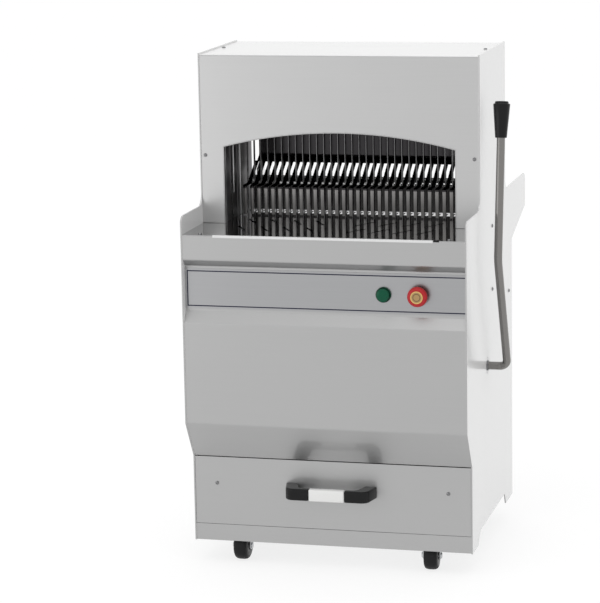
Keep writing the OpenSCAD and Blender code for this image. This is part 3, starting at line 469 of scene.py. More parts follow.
# %% Bars, blades and plating
zinc = steel("zinc_plate", (0.55, 0.56, 0.57), 0.34, grain=even(90), vary=0.12, bump=0.01, tone=0.12, smear=0.3)
turned = steel("turned_steel", (0.5, 0.505, 0.51), 0.28, grain=even(250), bump=0.01, tone=0.08)
aluminium = steel("machined_aluminium", (0.66, 0.665, 0.67), 0.33, grain=LINES_X, vary=0.07, bump=0.01)
blade_steel = steel("blade_steel", (0.32, 0.318, 0.32), 0.42, grain=LINES_Z, bump=0.008, tone=0.08, rim=0.7)
screw_steel = steel("screw_steel", (0.24, 0.24, 0.245), 0.26, vary=0.1, tone=0.1)
lever_steel = steel("lever_steel", (0.215, 0.208, 0.201), 0.22, grain=(400, 400, 12), vary=0.06, bump=0.01, tone=0.05,
                    smear=0.2)
print("bar finishes from", zinc.name, "to", lever_steel.name)

# %% Paint and rubber
white_coat = finish("white_coat", even(0.735), 0.22, grain=even(500), vary=0.05, bump=0.02, tone=0.01, coat=0.25)
dark_coat = finish("dark_enamel", (0.05, 0.052, 0.056), 0.42, vary=0.1, bump=0.03, tone=0.15, worn=0.3)
casting = finish("painted_casting", (0.2, 0.215, 0.23), 0.55, grain=even(220), vary=0.1, bump=0.12, tone=0.15, worn=0.3)
motor_coat = finish("motor_enamel", (0.13, 0.18, 0.25), 0.4, grain=even(240), vary=0.1, bump=0.05, tone=0.12, worn=0.3)
belt_rubber = finish("belt_rubber", (0.025, 0.025, 0.026), 0.7, grain=even(400), vary=0.1, bump=0.05, tone=0.2)
tread_rubber = finish("tread_rubber", (0.011, 0.011, 0.0115), 0.5, grain=even(350), vary=0.12, bump=0.06, tone=0.25,
                      smear=0.2, gloss=0.2)
print("paint and rubber from", white_coat.name, "to", tread_rubber.name)

# %% Plastics and inks
black_moulded = finish("black_moulded", (0.006, 0.006, 0.0065), 0.2, grain=even(500), vary=0.06, bump=0.015, tone=0.2,
                       worn=0.1, gloss=0.2)
pale_moulded = finish("pale_moulded", (0.8, 0.8, 0.79), 0.35, grain=even(400), vary=0.07, bump=0.015, tone=0.02)
hub_moulded = finish("hub_moulded", (0.008, 0.008, 0.0085), 0.3, grain=even(400), bump=0.02, tone=0.2, gloss=0.25)
green_lens = finish("green_lens", (0.0, 0.075, 0.036), 0.2, vary=0.05, tone=0.12, gloss=0.2)
green_ring = finish("green_ring", (0.0, 0.045, 0.022), 0.35, tone=0.1, gloss=0.15)
red_cap = finish("red_cap", (0.43, 0.014, 0.018), 0.3, vary=0.07, bump=0.01, gloss=0.3)
yellow_ink = finish("yellow_ink", (0.66, 0.45, 0.15), 0.42, tone=0.08)
tan_ink = finish("tan_ink", (0.4, 0.25, 0.1), 0.5, tone=0.1)
olive_ink = finish("olive_ink", (0.16, 0.1, 0.035), 0.5, tone=0.1)
# Film grey, darker partly as the film's own tone and partly as painted shade of the recess.
strip_film_and_shade = steel("strip_film_and_shade", (0.37, 0.372, 0.38), 0.32, grain=LINES_X, vary=0.04, bump=0.008, tone=0.03)
strip_ink = finish("navy_ink", (0.012, 0.013, 0.035), 0.5, grain=even(400), gloss=0.2)
print("plastics and inks from", black_moulded.name, "to", strip_ink.name)


# %% Placing a finished piece
def place(piece, body, slot, material, *nodes):
    """Gives a piece its finish, the body it moves with, and the CAD nodes that it stands for."""
    if material is not None:
        piece.data.materials.clear()
        piece.data.materials.append(material)
    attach(piece, body)
    if nodes:
        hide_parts(*nodes)
    return piece


def paint(piece, materials, choose):
    """Several finishes on one piece: choose says which of them a face gets."""
    piece.data.materials.clear()
    for material in materials:
        piece.data.materials.append(material)
    for face in piece.data.polygons:
        face.material_index = choose(face)
    return piece


def dress(material, *nodes):
    """A CAD node whose shape is right keeps it, and gets a better finish."""
    for node in nodes:
        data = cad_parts[node].data
        data.materials.clear()
        data.materials.append(material)


print(len(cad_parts), "CAD nodes to dress or replace")

# %% [markdown]
# ## Side panels
# Each panel is one painted plate cut to the machine's outline: low wings beside the table, the tall hood in the
# middle, a long wing at the back that carries the loading tray, and two feet. It could be cut from a block, but
# drawing the outline once and pulling it out is what the cutting machine does too. A fine bevel catches the light.

# %% Side panels
HALF_W, PANEL_T, INNER = 300.0, 3.0, 297.0
FRONT, REAR, KICK = -271.0, 271.0, -219.0
HOOD_F, HOOD_R, WING_R = -114.0, 188.0, 450.65
TABLE, WING_TOP, TOP = 715.0, 754.0, 1075.0
FOOT, FOOT_ARCH, SKIRT_LOW, SKIRT_TOP, PAN_FOLD, PAN_EDGE = 48.0, 74.0, 234.0, 315.0, 631.0, 679.0
PIVOT = (-35.0, 410.0)
BUSH_HOLE, THROUGH, PLATE_BEVEL, TURNED_FRONT = 34.0, 5.0, 0.5, -0.45
panel_points = [(KICK, FOOT), (KICK, SKIRT_LOW), (FRONT, SKIRT_TOP), (FRONT, WING_TOP), (HOOD_F, WING_TOP),
                (HOOD_F, TOP), (HOOD_R, TOP), (HOOD_R, WING_TOP), (WING_R, WING_TOP), (WING_R, PAN_EDGE),
                (REAR, PAN_FOLD), (REAR, FOOT), (187, FOOT), (171, FOOT_ARCH), (-123, FOOT_ARCH), (-155, FOOT)]
panel_radii = [1, 4, 8, 18, 24, 1, 1, 24, 18, 6, 10, 1, 1, 6, 6, 1]
panel_outline = rounded_line(panel_points, panel_radii, 8, closed=True)


def panel_coat(face):
    """Paint, but bare steel on the edges that face the front."""
    if face.normal.y >= TURNED_FRONT:
        return 0
    return 2 if face.center.z > WING_TOP * MM else 1


for x0, node in ((-HALF_W, "left_panel"), (INNER, "right_panel")):
    panel = across(node + "_skin", panel_outline, x0, x0 + PANEL_T)
    hole = add_bar("bush_hole", (x0 - THROUGH, *PIVOT), (x0 + PANEL_T + THROUGH, *PIVOT), BUSH_HOLE, 48)
    cut(panel, hole)
    soften(panel, PLATE_BEVEL)
    paint(panel, (white_coat, satin, satin_hood), panel_coat)
    place(panel, "chassis", "white_paint", None, node)
print("side panels", len(panel_outline), "corners")

# %% [markdown]
# ## Folded front
# One sheet makes the apron under the table edge, the recess of the control strip, the plain face and the sloped
# skirt. A real fold has a small radius, and that radius is what draws the bright lines across the front, so the
# profile is drawn with rounded corners, thickened, and pulled across the width.

# %% Front cover and plinth
COVER, STRIP, RECESS, KICK_FACE = -269.5, -255.0, -253.5, -217.5
PLINTH_LOW, PLINTH_TOP, PLINTH_BACK = 49.0, 85.0, -205.0
SHEET_T, FOLD_ANGLE = 2.0, 30
BUTTON_Z, START_X, STOP_X, BUTTON_HOLE = 599.0, 125.0, 198.0, 22.0


def cut_button_holes(piece):
    y0, y1 = STRIP - THROUGH, RECESS + SHEET_T + THROUGH
    for x in (START_X, STOP_X):
        cut(piece, add_bar("button_hole", (x, y0, BUTTON_Z), (x, y1, BUTTON_Z), BUTTON_HOLE, 32))


cover_points = [(COVER, 713), (COVER, 663), (RECESS, 648), (RECESS, 554), (COVER, 530), (COVER, SKIRT_TOP),
                (KICK_FACE, SKIRT_LOW)]
cover_line = rounded_line(cover_points, [0, 5, 5, 5, 6, 9, 0], 6)
cover = across("front_cover_skin", thickened(cover_line, SHEET_T), -INNER, INNER)
cut_button_holes(cover)
smooth(cover, FOLD_ANGLE)
place(cover, "chassis", "stainless", satin, "front_cover")

plinth_points = [(PLINTH_BACK, PLINTH_LOW), (KICK_FACE, PLINTH_LOW), (KICK_FACE, PLINTH_TOP),
                 (PLINTH_BACK, PLINTH_TOP)]
plinth_line = rounded_line(plinth_points, 1.2)
plinth = across("plinth_skin", thickened(plinth_line, -SHEET_T), -INNER, INNER)
smooth(plinth, FOLD_ANGLE)
place(plinth, "chassis", "stainless", satin, "plinth")
print("front cover", len(cover.data.polygons), "faces")

# %% [markdown]
# ## Control strip
# A thin printed film lies in the recess with a narrow dark line near its edges. Its grey is darker than the
# steel, partly as the film's own tone and partly as painted shade of the recess. Two insets on its front face give
# the line a face of its own, so it can take the ink and stays sharp from close by.

# %% Strip and its line
# The film covers nearly the recess's full height, so its darker grey also paints the recess's shade.
STRIP_LOW, STRIP_HIGH = (-297.0, 559.0), (304.0, 643.0)
INK_IN, INK_W, INK_MOST, RIM, STRIP_END, FULLY_FRONT = 4.2, 2.4, 9.0, 1.0, 295.7, -0.9
strip = add_block("control_strip_film", (STRIP_LOW[0], STRIP, STRIP_LOW[1]), (STRIP_HIGH[0], RECESS, STRIP_HIGH[1]))
edit_all(strip)
bpy.ops.mesh.select_mode(type="FACE")
bpy.ops.mesh.select_all(action="DESELECT")
leave_edit()
for face in strip.data.polygons:
    face.select = face.normal.y < FULLY_FRONT
bpy.ops.object.mode_set(mode="EDIT")
bpy.ops.mesh.inset(thickness=INK_IN * MM)
bpy.ops.mesh.inset(thickness=INK_W * MM)
leave_edit()


def strip_coat(face):
    """Ink on the narrow front faces that keep clear of the film's rim."""
    corners = [strip.data.vertices[v].co / MM for v in face.vertices]
    low = [min(c[k] for c in corners) for k in (0, 2)]
    high = [max(c[k] for c in corners) for k in (0, 2)]
    inside = all(low[k] > STRIP_LOW[k] + RIM and high[k] < STRIP_HIGH[k] - RIM for k in (0, 1))
    narrow = min(high[0] - low[0], high[1] - low[1]) < INK_MOST
    return 1 if face.normal.y < FULLY_FRONT and inside and narrow else 0


paint(strip, (strip_film_and_shade, strip_ink), strip_coat)
print("strip faces with ink", sum(f.material_index for f in strip.data.polygons))

# %% Strip ends and holes
for end in (-STRIP_END, STRIP_END):
    edit_all(strip)
    bpy.ops.mesh.bisect(plane_co=mm(end, 0, 0), plane_no=(1, 0, 0), use_fill=True,
                        clear_inner=end < 0, clear_outer=end > 0)
    leave_edit()
cut_button_holes(strip)
place(strip, "chassis", "strip_face", None, "control_strip")
print("strip", len(strip.data.polygons), "faces")

# %% [markdown]
# ## Hood
# The hood's front is a flat sheet with the arched mouth cut out of it, and the cut edge is turned back so that no
# raw edge faces the baker. The top is a flat painted sheet, and the back ends in a fold over the loading bay.

# %% Mouth and hood front
ARCH_HALF, SPRING, RISE = 249.0, 879.0, 32.0
HOOD_FOOT, HOOD_TOP, BAY_TOP = TABLE + 0.3, 1070.0, 907.3
HOOD_Y, HOOD_BACK = HOOD_F + 1.5, HOOD_R - 1.5
EDGE_T, EDGE_D = 1.6, 15.0
arch_r = (ARCH_HALF ** 2 + RISE ** 2) / (2 * RISE)


def mouth(grow=0.0, steps=36):
    """The mouth's outline from its left foot round to its right foot."""
    centre_z = SPRING + RISE - arch_r
    r, half = arch_r - grow, ARCH_HALF - grow
    a = math.asin(half / r)
    turns = [-a + 2 * a * k / steps for k in range(steps + 1)]
    arc = [(r * math.sin(t), centre_z + r * math.cos(t)) for t in turns]
    return [(-half, HOOD_FOOT)] + arc + [(half, HOOD_FOOT)]


hood_outline = [(-INNER, HOOD_FOOT), (-INNER, HOOD_TOP), (INNER, HOOD_TOP), (INNER, HOOD_FOOT)] + mouth()[::-1]
hood_sheet = facing("hood_front_sheet", hood_outline, HOOD_Y, HOOD_Y + SHEET_T)
turned_edge = facing("mouth_edge", mouth() + mouth(EDGE_T)[::-1], HOOD_Y + 0.2, HOOD_Y + EDGE_D)
hood = joined("hood_front_skin", [hood_sheet, turned_edge])
soften(hood, PLATE_BEVEL)
place(hood, "chassis", "stainless", satin_hood, "hood_front")
print("hood front, arch radius", round(arch_r), "mm")

# %% Hood top and back
top_outline = [(-INNER, HOOD_Y), (INNER, HOOD_Y), (INNER, HOOD_BACK), (-INNER, HOOD_BACK)]
top = lying("hood_top_sheet", top_outline, HOOD_TOP, HOOD_TOP + SHEET_T)
soften(top, 0.9, 3)
place(top, "chassis", "white_paint", white_coat, "hood_top")

rear_line = rounded_line([(HOOD_R - 14, BAY_TOP), (HOOD_BACK, BAY_TOP), (HOOD_BACK, HOOD_TOP)], 3.0)
hood_rear = across("hood_rear_skin", thickened(rear_line, SHEET_T), -INNER, INNER)
smooth(hood_rear, FOLD_ANGLE)
place(hood_rear, "chassis", "stainless", satin_hood, "hood_rear")
print("hood top", len(top.data.polygons), "faces, back", len(hood_rear.data.polygons))

# %% [markdown]
# ## Tables
# The tables keep their CAD shape, because the slots for the blades are exact there. They only lack the rolled
# front edge, painted white as a painted highlight of its shine, the small dark notch where it ends, and two
# pegs, so those are added.

# %% Table edges
LIP_Y, LIP_INNER, LIP_BACK, LIP_HALF = -271.0, -269.4, -264.0, 231.0
LIP_LOW, LIP_UNDER, LIP_TOP = 710.5, 715.05, 715.6
PEG_X, PEG_Y = 262.0, -255.0
NOTCH_X, NOTCH_Z = (232.0, 244.0), (712.5, 716.2)
dress(mirror_table, "delivery_table", "loading_table")
lip_points = [(LIP_Y, LIP_LOW), (LIP_Y, LIP_TOP), (LIP_BACK, LIP_TOP), (LIP_BACK, LIP_UNDER),
              (LIP_INNER, LIP_UNDER), (LIP_INNER, LIP_LOW)]
lip = across("table_front_lip", rounded_line(lip_points, 0.8, 4, closed=True), -LIP_HALF, LIP_HALF)
smooth(lip, 40)
# The polished lip is given white paint: a painted highlight standing in for the edge's bright shine.
place(lip, "chassis", "polished_steel", white_coat)

peg = add_lathe("peg", [(0, 0), (4, 0), (4, 1.2), (3.2, 2.2), (0, 2.4)], (-PEG_X, PEG_Y, TABLE), steps=24)
pegs = joined("table_pegs", [peg, copied(peg, "peg_right", Matrix.Translation(mm(2 * PEG_X, 0, 0)))])
smooth(pegs)
place(pegs, "chassis", "screw_steel", screw_steel)

notch = add_block("lip_notch", (NOTCH_X[0], LIP_Y, NOTCH_Z[0]), (NOTCH_X[1], LIP_BACK, NOTCH_Z[1]))
soften(notch, PLATE_BEVEL)
place(notch, "chassis", "black_plastic", black_moulded)
print("table edge", 2 * LIP_HALF, "mm long")

# %% [markdown]
# ## Guide plates
# Bright plates stand beside the blades and keep the loaf straight. Their upright edges are folded, and that fold
# is the bright line seen just inside the mouth.

# %% Guide plates
FOLD_X, FOLD_T = 248.8, 1.2
dress(guide_satin, "guide_plates")
folds = []
for side in (-1, 1):
    for y, width, z0, z1 in ((-44.5, 3.2, 771, 889), (11.5, 2.2, TABLE + 1, 884)):
        x0, x1 = sorted((side * FOLD_X, side * (FOLD_X - width)))
        fold = add_block("fold", (x0, y - FOLD_T / 2, z0), (x1, y + FOLD_T / 2, z1))
        folds.append(soften(fold, 0.25))
place(joined("guide_edge_folds", folds), "chassis", "polished_steel", fold_bright)
print(len(folds), "folded edges")

# %% [markdown]
# ## Pusher comb
# The comb is bent from one sheet: an upright back plate, a slope, and tines that turn down in front of the blades.
# The back plate and the slope are painted near black, a painted shade under the hood, while the tines stay satin.
# One tine is drawn with rounded bends, given a fine bevel, then copied across at the blades' pitch. A dark plate
# with a rolled bright edge closes the comb behind the blades; its dark is painted shade seen between the tines.

# %% One tine
TINE_Y, TINE_LOW, BEND_Z, SHELF_Y, BACK_Y, BACK_Z, COMB_TOP = -4.0, 718.0, 781.0, 34.0, 118.0, 831.0, 897.0
PITCH, TINE_W, DROP_W, TINES, COMB_T, COMB_BEVEL = 15.6, 8.4, 7.0, 31, 3.0, 0.45
SLOT_SHARE, LAP_Y, LAP_Z, BACK_HALF = 0.78, 0.2, 0.12, 233.4
DROP_TOP, PAINTED_SHADE_FROM = BEND_Z - 6.5, BEND_Z - 9
slot_y = SHELF_Y + SLOT_SHARE * (BACK_Y - SHELF_Y)
slot_z = BEND_Z + SLOT_SHARE * (BACK_Z - BEND_Z)
tine_points = [(TINE_Y, TINE_LOW), (TINE_Y, BEND_Z), (SHELF_Y, BEND_Z), (slot_y + LAP_Y, slot_z + LAP_Z)]
tine_line = rounded_line(tine_points, [0, 7, 14, 0], 6)
tine = across("tine", thickened(tine_line, -COMB_T), -TINE_W / 2, TINE_W / 2)
for corner in tine.data.vertices:
    if corner.co.z < DROP_TOP * MM:
        corner.co.x *= DROP_W / TINE_W
soften(tine, COMB_BEVEL)
print("one tine", len(tine.data.polygons), "faces")

# %% Whole comb
steps_across = [(i - (TINES - 1) / 2) * PITCH for i in range(TINES)]
tines = [copied(tine, "tine%d" % i, Matrix.Translation(mm(x, 0, 0))) for i, x in enumerate(steps_across)]
removed(tine)
back_line = rounded_line([(slot_y, slot_z), (BACK_Y, BACK_Z), (BACK_Y, COMB_TOP)], 7, 6)
back = across("comb_back", thickened(back_line, -COMB_T), -BACK_HALF, BACK_HALF)
soften(back, COMB_BEVEL)
comb = joined("pusher_comb_skin", [back] + tines)
smooth(comb)
# Faces above this height get the near-black polish, painted shade; the tines below keep the satin.
paint(comb, (comb_steel_painted_shade, tine_satin), lambda face: 1 if face.center.z < PAINTED_SHADE_FROM * MM else 0)
place(comb, "pusher", "polished_steel", None, "pusher_comb")
print("comb", len(comb.data.polygons), "faces")

# %% Plate behind the comb
SHIELD_F, BEAD_F, SHIELD_R, SHIELD_LOW, SHIELD_TOP, BEAD_Z = 63.0, 61.4, 65.0, 718.5, 794.0, 775.0
comb_half = ((TINES - 1) * PITCH + TINE_W) / 2
shield_points = [(SHIELD_F, SHIELD_LOW), (SHIELD_F, 776), (BEAD_F, 780), (BEAD_F, 791), (SHIELD_F, SHIELD_TOP),
                 (SHIELD_R, SHIELD_TOP), (SHIELD_R, SHIELD_LOW)]
shield = across("comb_shade_plate", rounded_line(shield_points, 1.0, 3, closed=True), -comb_half, comb_half)
smooth(shield, 40)
# The plate's lower part is dark as painted shade between the tines; only the bead above it is bright polish.
paint(shield, (painted_shade_steel, bead_polish), lambda face: 1 if face.center.z > BEAD_Z * MM else 0)
place(shield, "pusher", "polished_steel", None)
dress(fold_bright, "pusher_cheeks")
dress(turned, "pusher_carriage", "drag_bar")
print("plate", 2 * comb_half, "mm wide")

# %% [markdown]
# ## Drawer
# The drawer front is a plain sheet with its edges turned back. The black handle is a moulded bow: two swept legs
# and a thick bar with soft edges, and a pale sleeve round its middle.

# %% Drawer front and box
DRAWER = KICK_FACE
EDGE_X, EDGE_LOW, EDGE_TOP, HEM_T, HEM_D = 296.6, 85.5, 232.0, 1.6, 12.0
drawer_outline = [(-EDGE_X, EDGE_LOW), (EDGE_X, EDGE_LOW), (EDGE_X, EDGE_TOP), (-EDGE_X, EDGE_TOP)]
drawer_sheet = facing("drawer_front_sheet", drawer_outline, DRAWER, DRAWER + SHEET_T)
hem_boxes = ((-EDGE_X, EDGE_LOW, EDGE_X, EDGE_LOW + HEM_T), (-EDGE_X, EDGE_TOP - HEM_T, EDGE_X, EDGE_TOP),
             (-EDGE_X, EDGE_LOW, HEM_T - EDGE_X, EDGE_TOP), (EDGE_X - HEM_T, EDGE_LOW, EDGE_X, EDGE_TOP))
hems = [add_block("hem", (x0, DRAWER + 1, z0), (x1, DRAWER + HEM_D, z1)) for x0, z0, x1, z1 in hem_boxes]
drawer = joined("drawer_front_skin", [drawer_sheet] + hems)
soften(drawer, 0.35)
place(drawer, "drawer", "stainless", satin, "drawer_front")
dress(zinc, "drawer_box", "drawer_runners")
print("drawer front", 2 * EDGE_X, "mm wide")

# %% Drawer handle
HANDLE_Z, HANDLE_H, HANDLE_HALF, REACH = 170.7, 25.0, 98.0, 50.0
BAR_T, INSERT_HALF, SWEEP, LEG, SLEEVE = 14.0, 38.0, 11.0, 26.0, 0.3
MOULD_R, MOULD_STEPS, MOULD_ANGLE = 3.2, 4, 40
face_y = DRAWER - REACH
handle_low, handle_top = HANDLE_Z - HANDLE_H / 2, HANDLE_Z + HANDLE_H / 2
bow = [(-HANDLE_HALF, DRAWER), (-HANDLE_HALF + SWEEP, face_y), (-INSERT_HALF, face_y), (-INSERT_HALF, face_y + BAR_T),
       (-HANDLE_HALF + LEG + SWEEP, face_y + BAR_T), (-HANDLE_HALF + LEG, DRAWER)]
halves = []
for side in (-1, 1):
    line = rounded_line([(p[0] * -side, p[1]) for p in bow], [0, 18, 0, 0, 22, 0], 8, closed=True)
    half = lying("handle_half", line, handle_low, handle_top)
    halves.append(soften(half, MOULD_R, MOULD_STEPS, MOULD_ANGLE))
handle = joined("drawer_handle_skin", halves)
smooth(handle, 45)
place(handle, "drawer", "black_plastic", black_moulded, "drawer_handle")
sleeve = add_block("handle_sleeve", (-INSERT_HALF, face_y - SLEEVE, handle_low - SLEEVE),
                   (INSERT_HALF, face_y + BAR_T + SLEEVE, handle_top + SLEEVE))
soften(sleeve, MOULD_R, MOULD_STEPS, MOULD_ANGLE)
place(sleeve, "drawer", "pale_plastic", pale_moulded, "handle_insert")
print("handle", 2 * HANDLE_HALF, "mm wide")

# %% [markdown]
# ## Screws
# One round-headed screw with a crossed recess is modelled once. Copies turned to each face stand for the screws
# of the hood, the panels and the drawer.

# %% One screw
SCREW_R, HEAD = 4.0, 2.5
CROSS_L, CROSS_W = SCREW_R * 0.55, SCREW_R * 0.11
screw_profile = [(0, 0), (SCREW_R, 0), (SCREW_R, HEAD * 0.35), (SCREW_R * 0.85, HEAD * 0.75),
                 (SCREW_R * 0.55, HEAD * 0.96), (0, HEAD)]
screw = add_lathe("screw", screw_profile, (0, 0, 0), steps=28)
for lx, ly in ((CROSS_W, CROSS_L), (CROSS_L, CROSS_W)):
    cut(screw, add_block("recess", (-lx, -ly, HEAD * 0.45), (lx, ly, HEAD + 1)))
smooth(screw, 35)
print("screw", len(screw.data.polygons), "faces")

# %% All screws
HOOD_SCREW, TOP_SCREW, DRAWER_SCREW = (288, HOOD_Y, 860), (285, 37, HOOD_TOP + SHEET_T), (249, DRAWER, 175)
SIDE_SCREWS = ((23, 700), (23, 564), (228, 522))
cabinet, drawer_heads = [], []
for side in (-1, 1):
    spots = [(HOOD_SCREW, (0, -1, 0)), (TOP_SCREW, (0, 0, 1))]
    spots += [((HALF_W, y, z), (side, 0, 0)) for y, z in SIDE_SCREWS]
    for (x, y, z), axis in spots:
        cabinet.append(copied(screw, "cabinet_screw", standing((side * x, y, z), axis)))
    x, y, z = DRAWER_SCREW
    drawer_heads.append(copied(screw, "drawer_screw", standing((side * x, y, z), (0, -1, 0))))
removed(screw)
print(len(cabinet) + len(drawer_heads), "screws")
place(joined("cabinet_screw_heads", cabinet), "chassis", "screw_steel", screw_steel, "cabinet_screws")
place(joined("drawer_screw_heads", drawer_heads), "drawer", "screw_steel", screw_steel, "drawer_screws")

# %% [markdown]
# ## Lever
# The lever is a bent bar that leaves the right panel, turns up, leans forward, and straightens under a black grip.
# A path with a round section follows the same middle line as the CAD bar. The grip is turned on a lathe.

# %% Lever's middle line
LEVER_X, LEAN, TURN = 342.0, math.radians(24), math.radians(33)
BEND_R, KNEE_R, LOWER, UPPER, GRIP_L, INTO_GRIP = 16.0, 40.0, 257.0, 240.0, 75.0, 20.0
BEND_STEPS, KNEE_STEPS = 14, 10
out = LEVER_X - HALF_W


def lever_point(x, y, z):
    """A place in the lever's own frame, leaned forward about the shaft."""
    c, s = math.cos(LEAN), math.sin(LEAN)
    return Vector((HALF_W + x, PIVOT[0] + y * c - z * s, PIVOT[1] + y * s + z * c))


def knee_point(a, further=0.0):
    """A place on the knee after a turn of a, or further along the way that it then points."""
    y = KNEE_R - KNEE_R * math.cos(a) + further * math.sin(a)
    return lever_point(out, y, LOWER + KNEE_R * math.sin(a) + further * math.cos(a))


bends = [math.pi / 2 * k / BEND_STEPS for k in range(BEND_STEPS + 1)]
lever_path = [lever_point(0.2, 0, 0)]
lever_path += [lever_point(out - BEND_R + BEND_R * math.sin(a), 0, BEND_R - BEND_R * math.cos(a)) for a in bends]
lever_path += [knee_point(TURN * k / KNEE_STEPS) for k in range(KNEE_STEPS + 1)]
knee_end = knee_point(TURN)
up_dir = (knee_point(TURN, 1.0) - knee_end).normalized()
lever_path.append(knee_end + up_dir * (UPPER + INTO_GRIP))
print("lever path", len(lever_path), "points")

# %% Lever bar
LEVER_R, ROUND_STEPS = 8.5, 7
clear_selection()
bpy.ops.curve.primitive_nurbs_path_add()
bar = named("lever_bar")
bar.data.splines.clear()
run = bar.data.splines.new("POLY")
run.points.add(len(lever_path) - 1)
for point, p in zip(run.points, lever_path):
    point.co = (*(p * MM), 1)
bar.data.dimensions = "3D"
bar.data.bevel_depth = LEVER_R * MM
bar.data.bevel_resolution = ROUND_STEPS
bar.data.use_fill_caps = True
pick(bar)
bpy.ops.object.convert(target="MESH")
bar = settle(named("lever_bar"))
tidy_faces(bar)
smooth(bar, 40)
place(bar, "lever", "lever_steel", lever_steel, "lever_tube")
print("lever bar", len(bar.data.polygons), "faces")

# %% Lever grip and collar
R_LOW, R_TOP, BORE_R, BORE_L = 12.25, 17.5, 8.6, 30.0
grip_profile = [(BORE_R, 0), (R_LOW - 1.5, 0), (R_LOW - 0.4, 0.5), (R_LOW, 2), (R_TOP, GRIP_L - 7),
                (R_TOP - 0.2, GRIP_L - 5.8), (R_TOP - 1, GRIP_L - 5), (R_TOP - 2.8, GRIP_L - 4.8),
                (R_TOP - 3.2, GRIP_L - 4.2), (R_TOP - 3.4, GRIP_L - 1.6), (R_TOP - 4.2, GRIP_L - 0.5),
                (R_TOP - 5.5, GRIP_L), (0, GRIP_L), (0, BORE_L), (BORE_R, BORE_L)]
grip = add_lathe("lever_grip_skin", grip_profile, knee_end + up_dir * UPPER, up_dir, 56)
smooth(grip, 45)
place(grip, "lever", "black_plastic", black_moulded, "lever_grip")
collar_profile = [(BORE_R, 0), (10.8, 0), (10.8, 1.4), (10.2, 2), (BORE_R, 2)]
collar = add_lathe("lever_collar", collar_profile, (HALF_W + 0.4, *PIVOT), (1, 0, 0), 40)
smooth(collar, 40)
place(collar, "lever", "lever_steel", screw_steel)
dress(turned, "lever_shaft", "lever_bushes")
print("lever top at", tuple(round(v) for v in knee_end + up_dir * (UPPER + GRIP_L)))

# %% [markdown]
# ## Buttons
# The start button is a green lens in a dark green ring. The stop button is a red mushroom head with a pale ring
# and a disc on its face. Both are turned shapes, so both are spun from half of their section.

# %% Start button
THREAD_R, STEM_R, STEM_BORE, CAP = 10.9, 5.0, 5.1, 5.9
START, STOP, OUTWARD = (START_X, STRIP, BUTTON_Z), (STOP_X, STRIP, BUTTON_Z), (0, -1, 0)
bezel_profile = [(THREAD_R, -30), (THREAD_R, 0), (16, 0), (16, 4.2), (15, 6), (14.4, 6), (14.4, 1.5),
                 (STEM_BORE, 1.5), (STEM_BORE, -30)]
bezel = add_lathe("start_bezel_skin", bezel_profile, START, OUTWARD, 56)
smooth(bezel, 35)
place(bezel, "chassis", "button_metal", green_ring, "start_bezel")
cap_profile = [(0, -25), (STEM_R, -25), (STEM_R, CAP), (13.6, CAP), (13.6, CAP + 4), (12.8, CAP + 5.6),
               (10, CAP + 6.6), (6, CAP + 7.1), (0, CAP + 7.3)]
cap = add_lathe("start_button_lens", cap_profile, START, OUTWARD, 56)
smooth(cap, 50)
place(cap, "start_cap", "button_green", green_lens, "start_button")
print("start button", len(bezel.data.polygons) + len(cap.data.polygons), "faces")

# %% Stop button
BACK, DOME = 11.4, 11.2
ring_profile = [(THREAD_R, -30), (THREAD_R, 0), (12.8, 0), (12.8, 5.2), (12, 6), (STEM_BORE, 6), (STEM_BORE, -30)]
stop_ring = add_lathe("stop_collar_skin", ring_profile, STOP, OUTWARD, 56)
smooth(stop_ring, 35)
place(stop_ring, "chassis", "button_yellow", yellow_ink, "stop_collar")
dome_profile = [(0, -24), (STEM_R, -24), (STEM_R, BACK), (19.5, BACK), (20.6, BACK + 1), (21, BACK + 3),
                (20.4, BACK + 6.5), (18.6, BACK + 9.5), (16, BACK + DOME), (13.4, BACK + 11.7), (13.1, BACK + DOME),
                (0, BACK + DOME)]
mushroom = add_lathe("mushroom", dome_profile, STOP, OUTWARD, 64)
smooth(mushroom, 45)
mushroom.data.materials.append(red_cap)
print("stop head", len(mushroom.data.polygons), "faces")

# %% Disc on the stop button
PALE_R, OLIVE_R = 10.7, (6.3, 8.1)
disc_profile = [(0, 0), (12.9, 0), (12.9, 0.5), (10.9, 0.6), (10.6, 0.3), (8.2, 0.3), (8.0, 0.6), (6.4, 0.6),
                (6.2, 0.4), (0, 0.4)]
disc = add_lathe("stop_disc", disc_profile, (STOP_X, STRIP - BACK - DOME, BUTTON_Z), OUTWARD, 64)


def disc_coat(face):
    r = math.hypot(face.center.x / MM - STOP_X, face.center.z / MM - BUTTON_Z)
    return 0 if r > PALE_R else 2 if OLIVE_R[0] < r < OLIVE_R[1] else 1


paint(disc, (yellow_ink, tan_ink, olive_ink), disc_coat)
place(joined("stop_button_head", [mushroom, disc]), "stop_head", "button_red", None, "stop_button")
dress(pale_moulded, "control_box")
print("stop button, head reaches", BACK + DOME, "mm out of the strip")

# %% [markdown]
# ## Casters
# Each caster has a pressed plate, a swivel fork bent from sheet and a rubber wheel on a moulded hub. One wheel and
# one fork are modelled, and copies are turned to the place of each caster, because each turns on a body of its own.

# %% One wheel and one fork
TRAIL, WHEEL_R, TREAD_R, ARM_X, ARM_T = 18.0, 30.0, 22.0, 17.75, 2.5
half_wheel = [(4.05, 13), (9, 13), (9.5, 14.5), (13, 15), (20.5, 15), (22, 14.2), (24.5, 14.3), (27.2, 12.8),
              (29.2, 9.8), (30, 5)]
wheel_profile = [(r, -x) for r, x in half_wheel] + half_wheel[::-1]
wheel = add_lathe("wheel", wheel_profile, (0, -TRAIL, WHEEL_R), (1, 0, 0), 48)


def wheel_coat(face):
    return 1 if math.hypot(face.center.y / MM + TRAIL, face.center.z / MM - WHEEL_R) < TREAD_R else 0


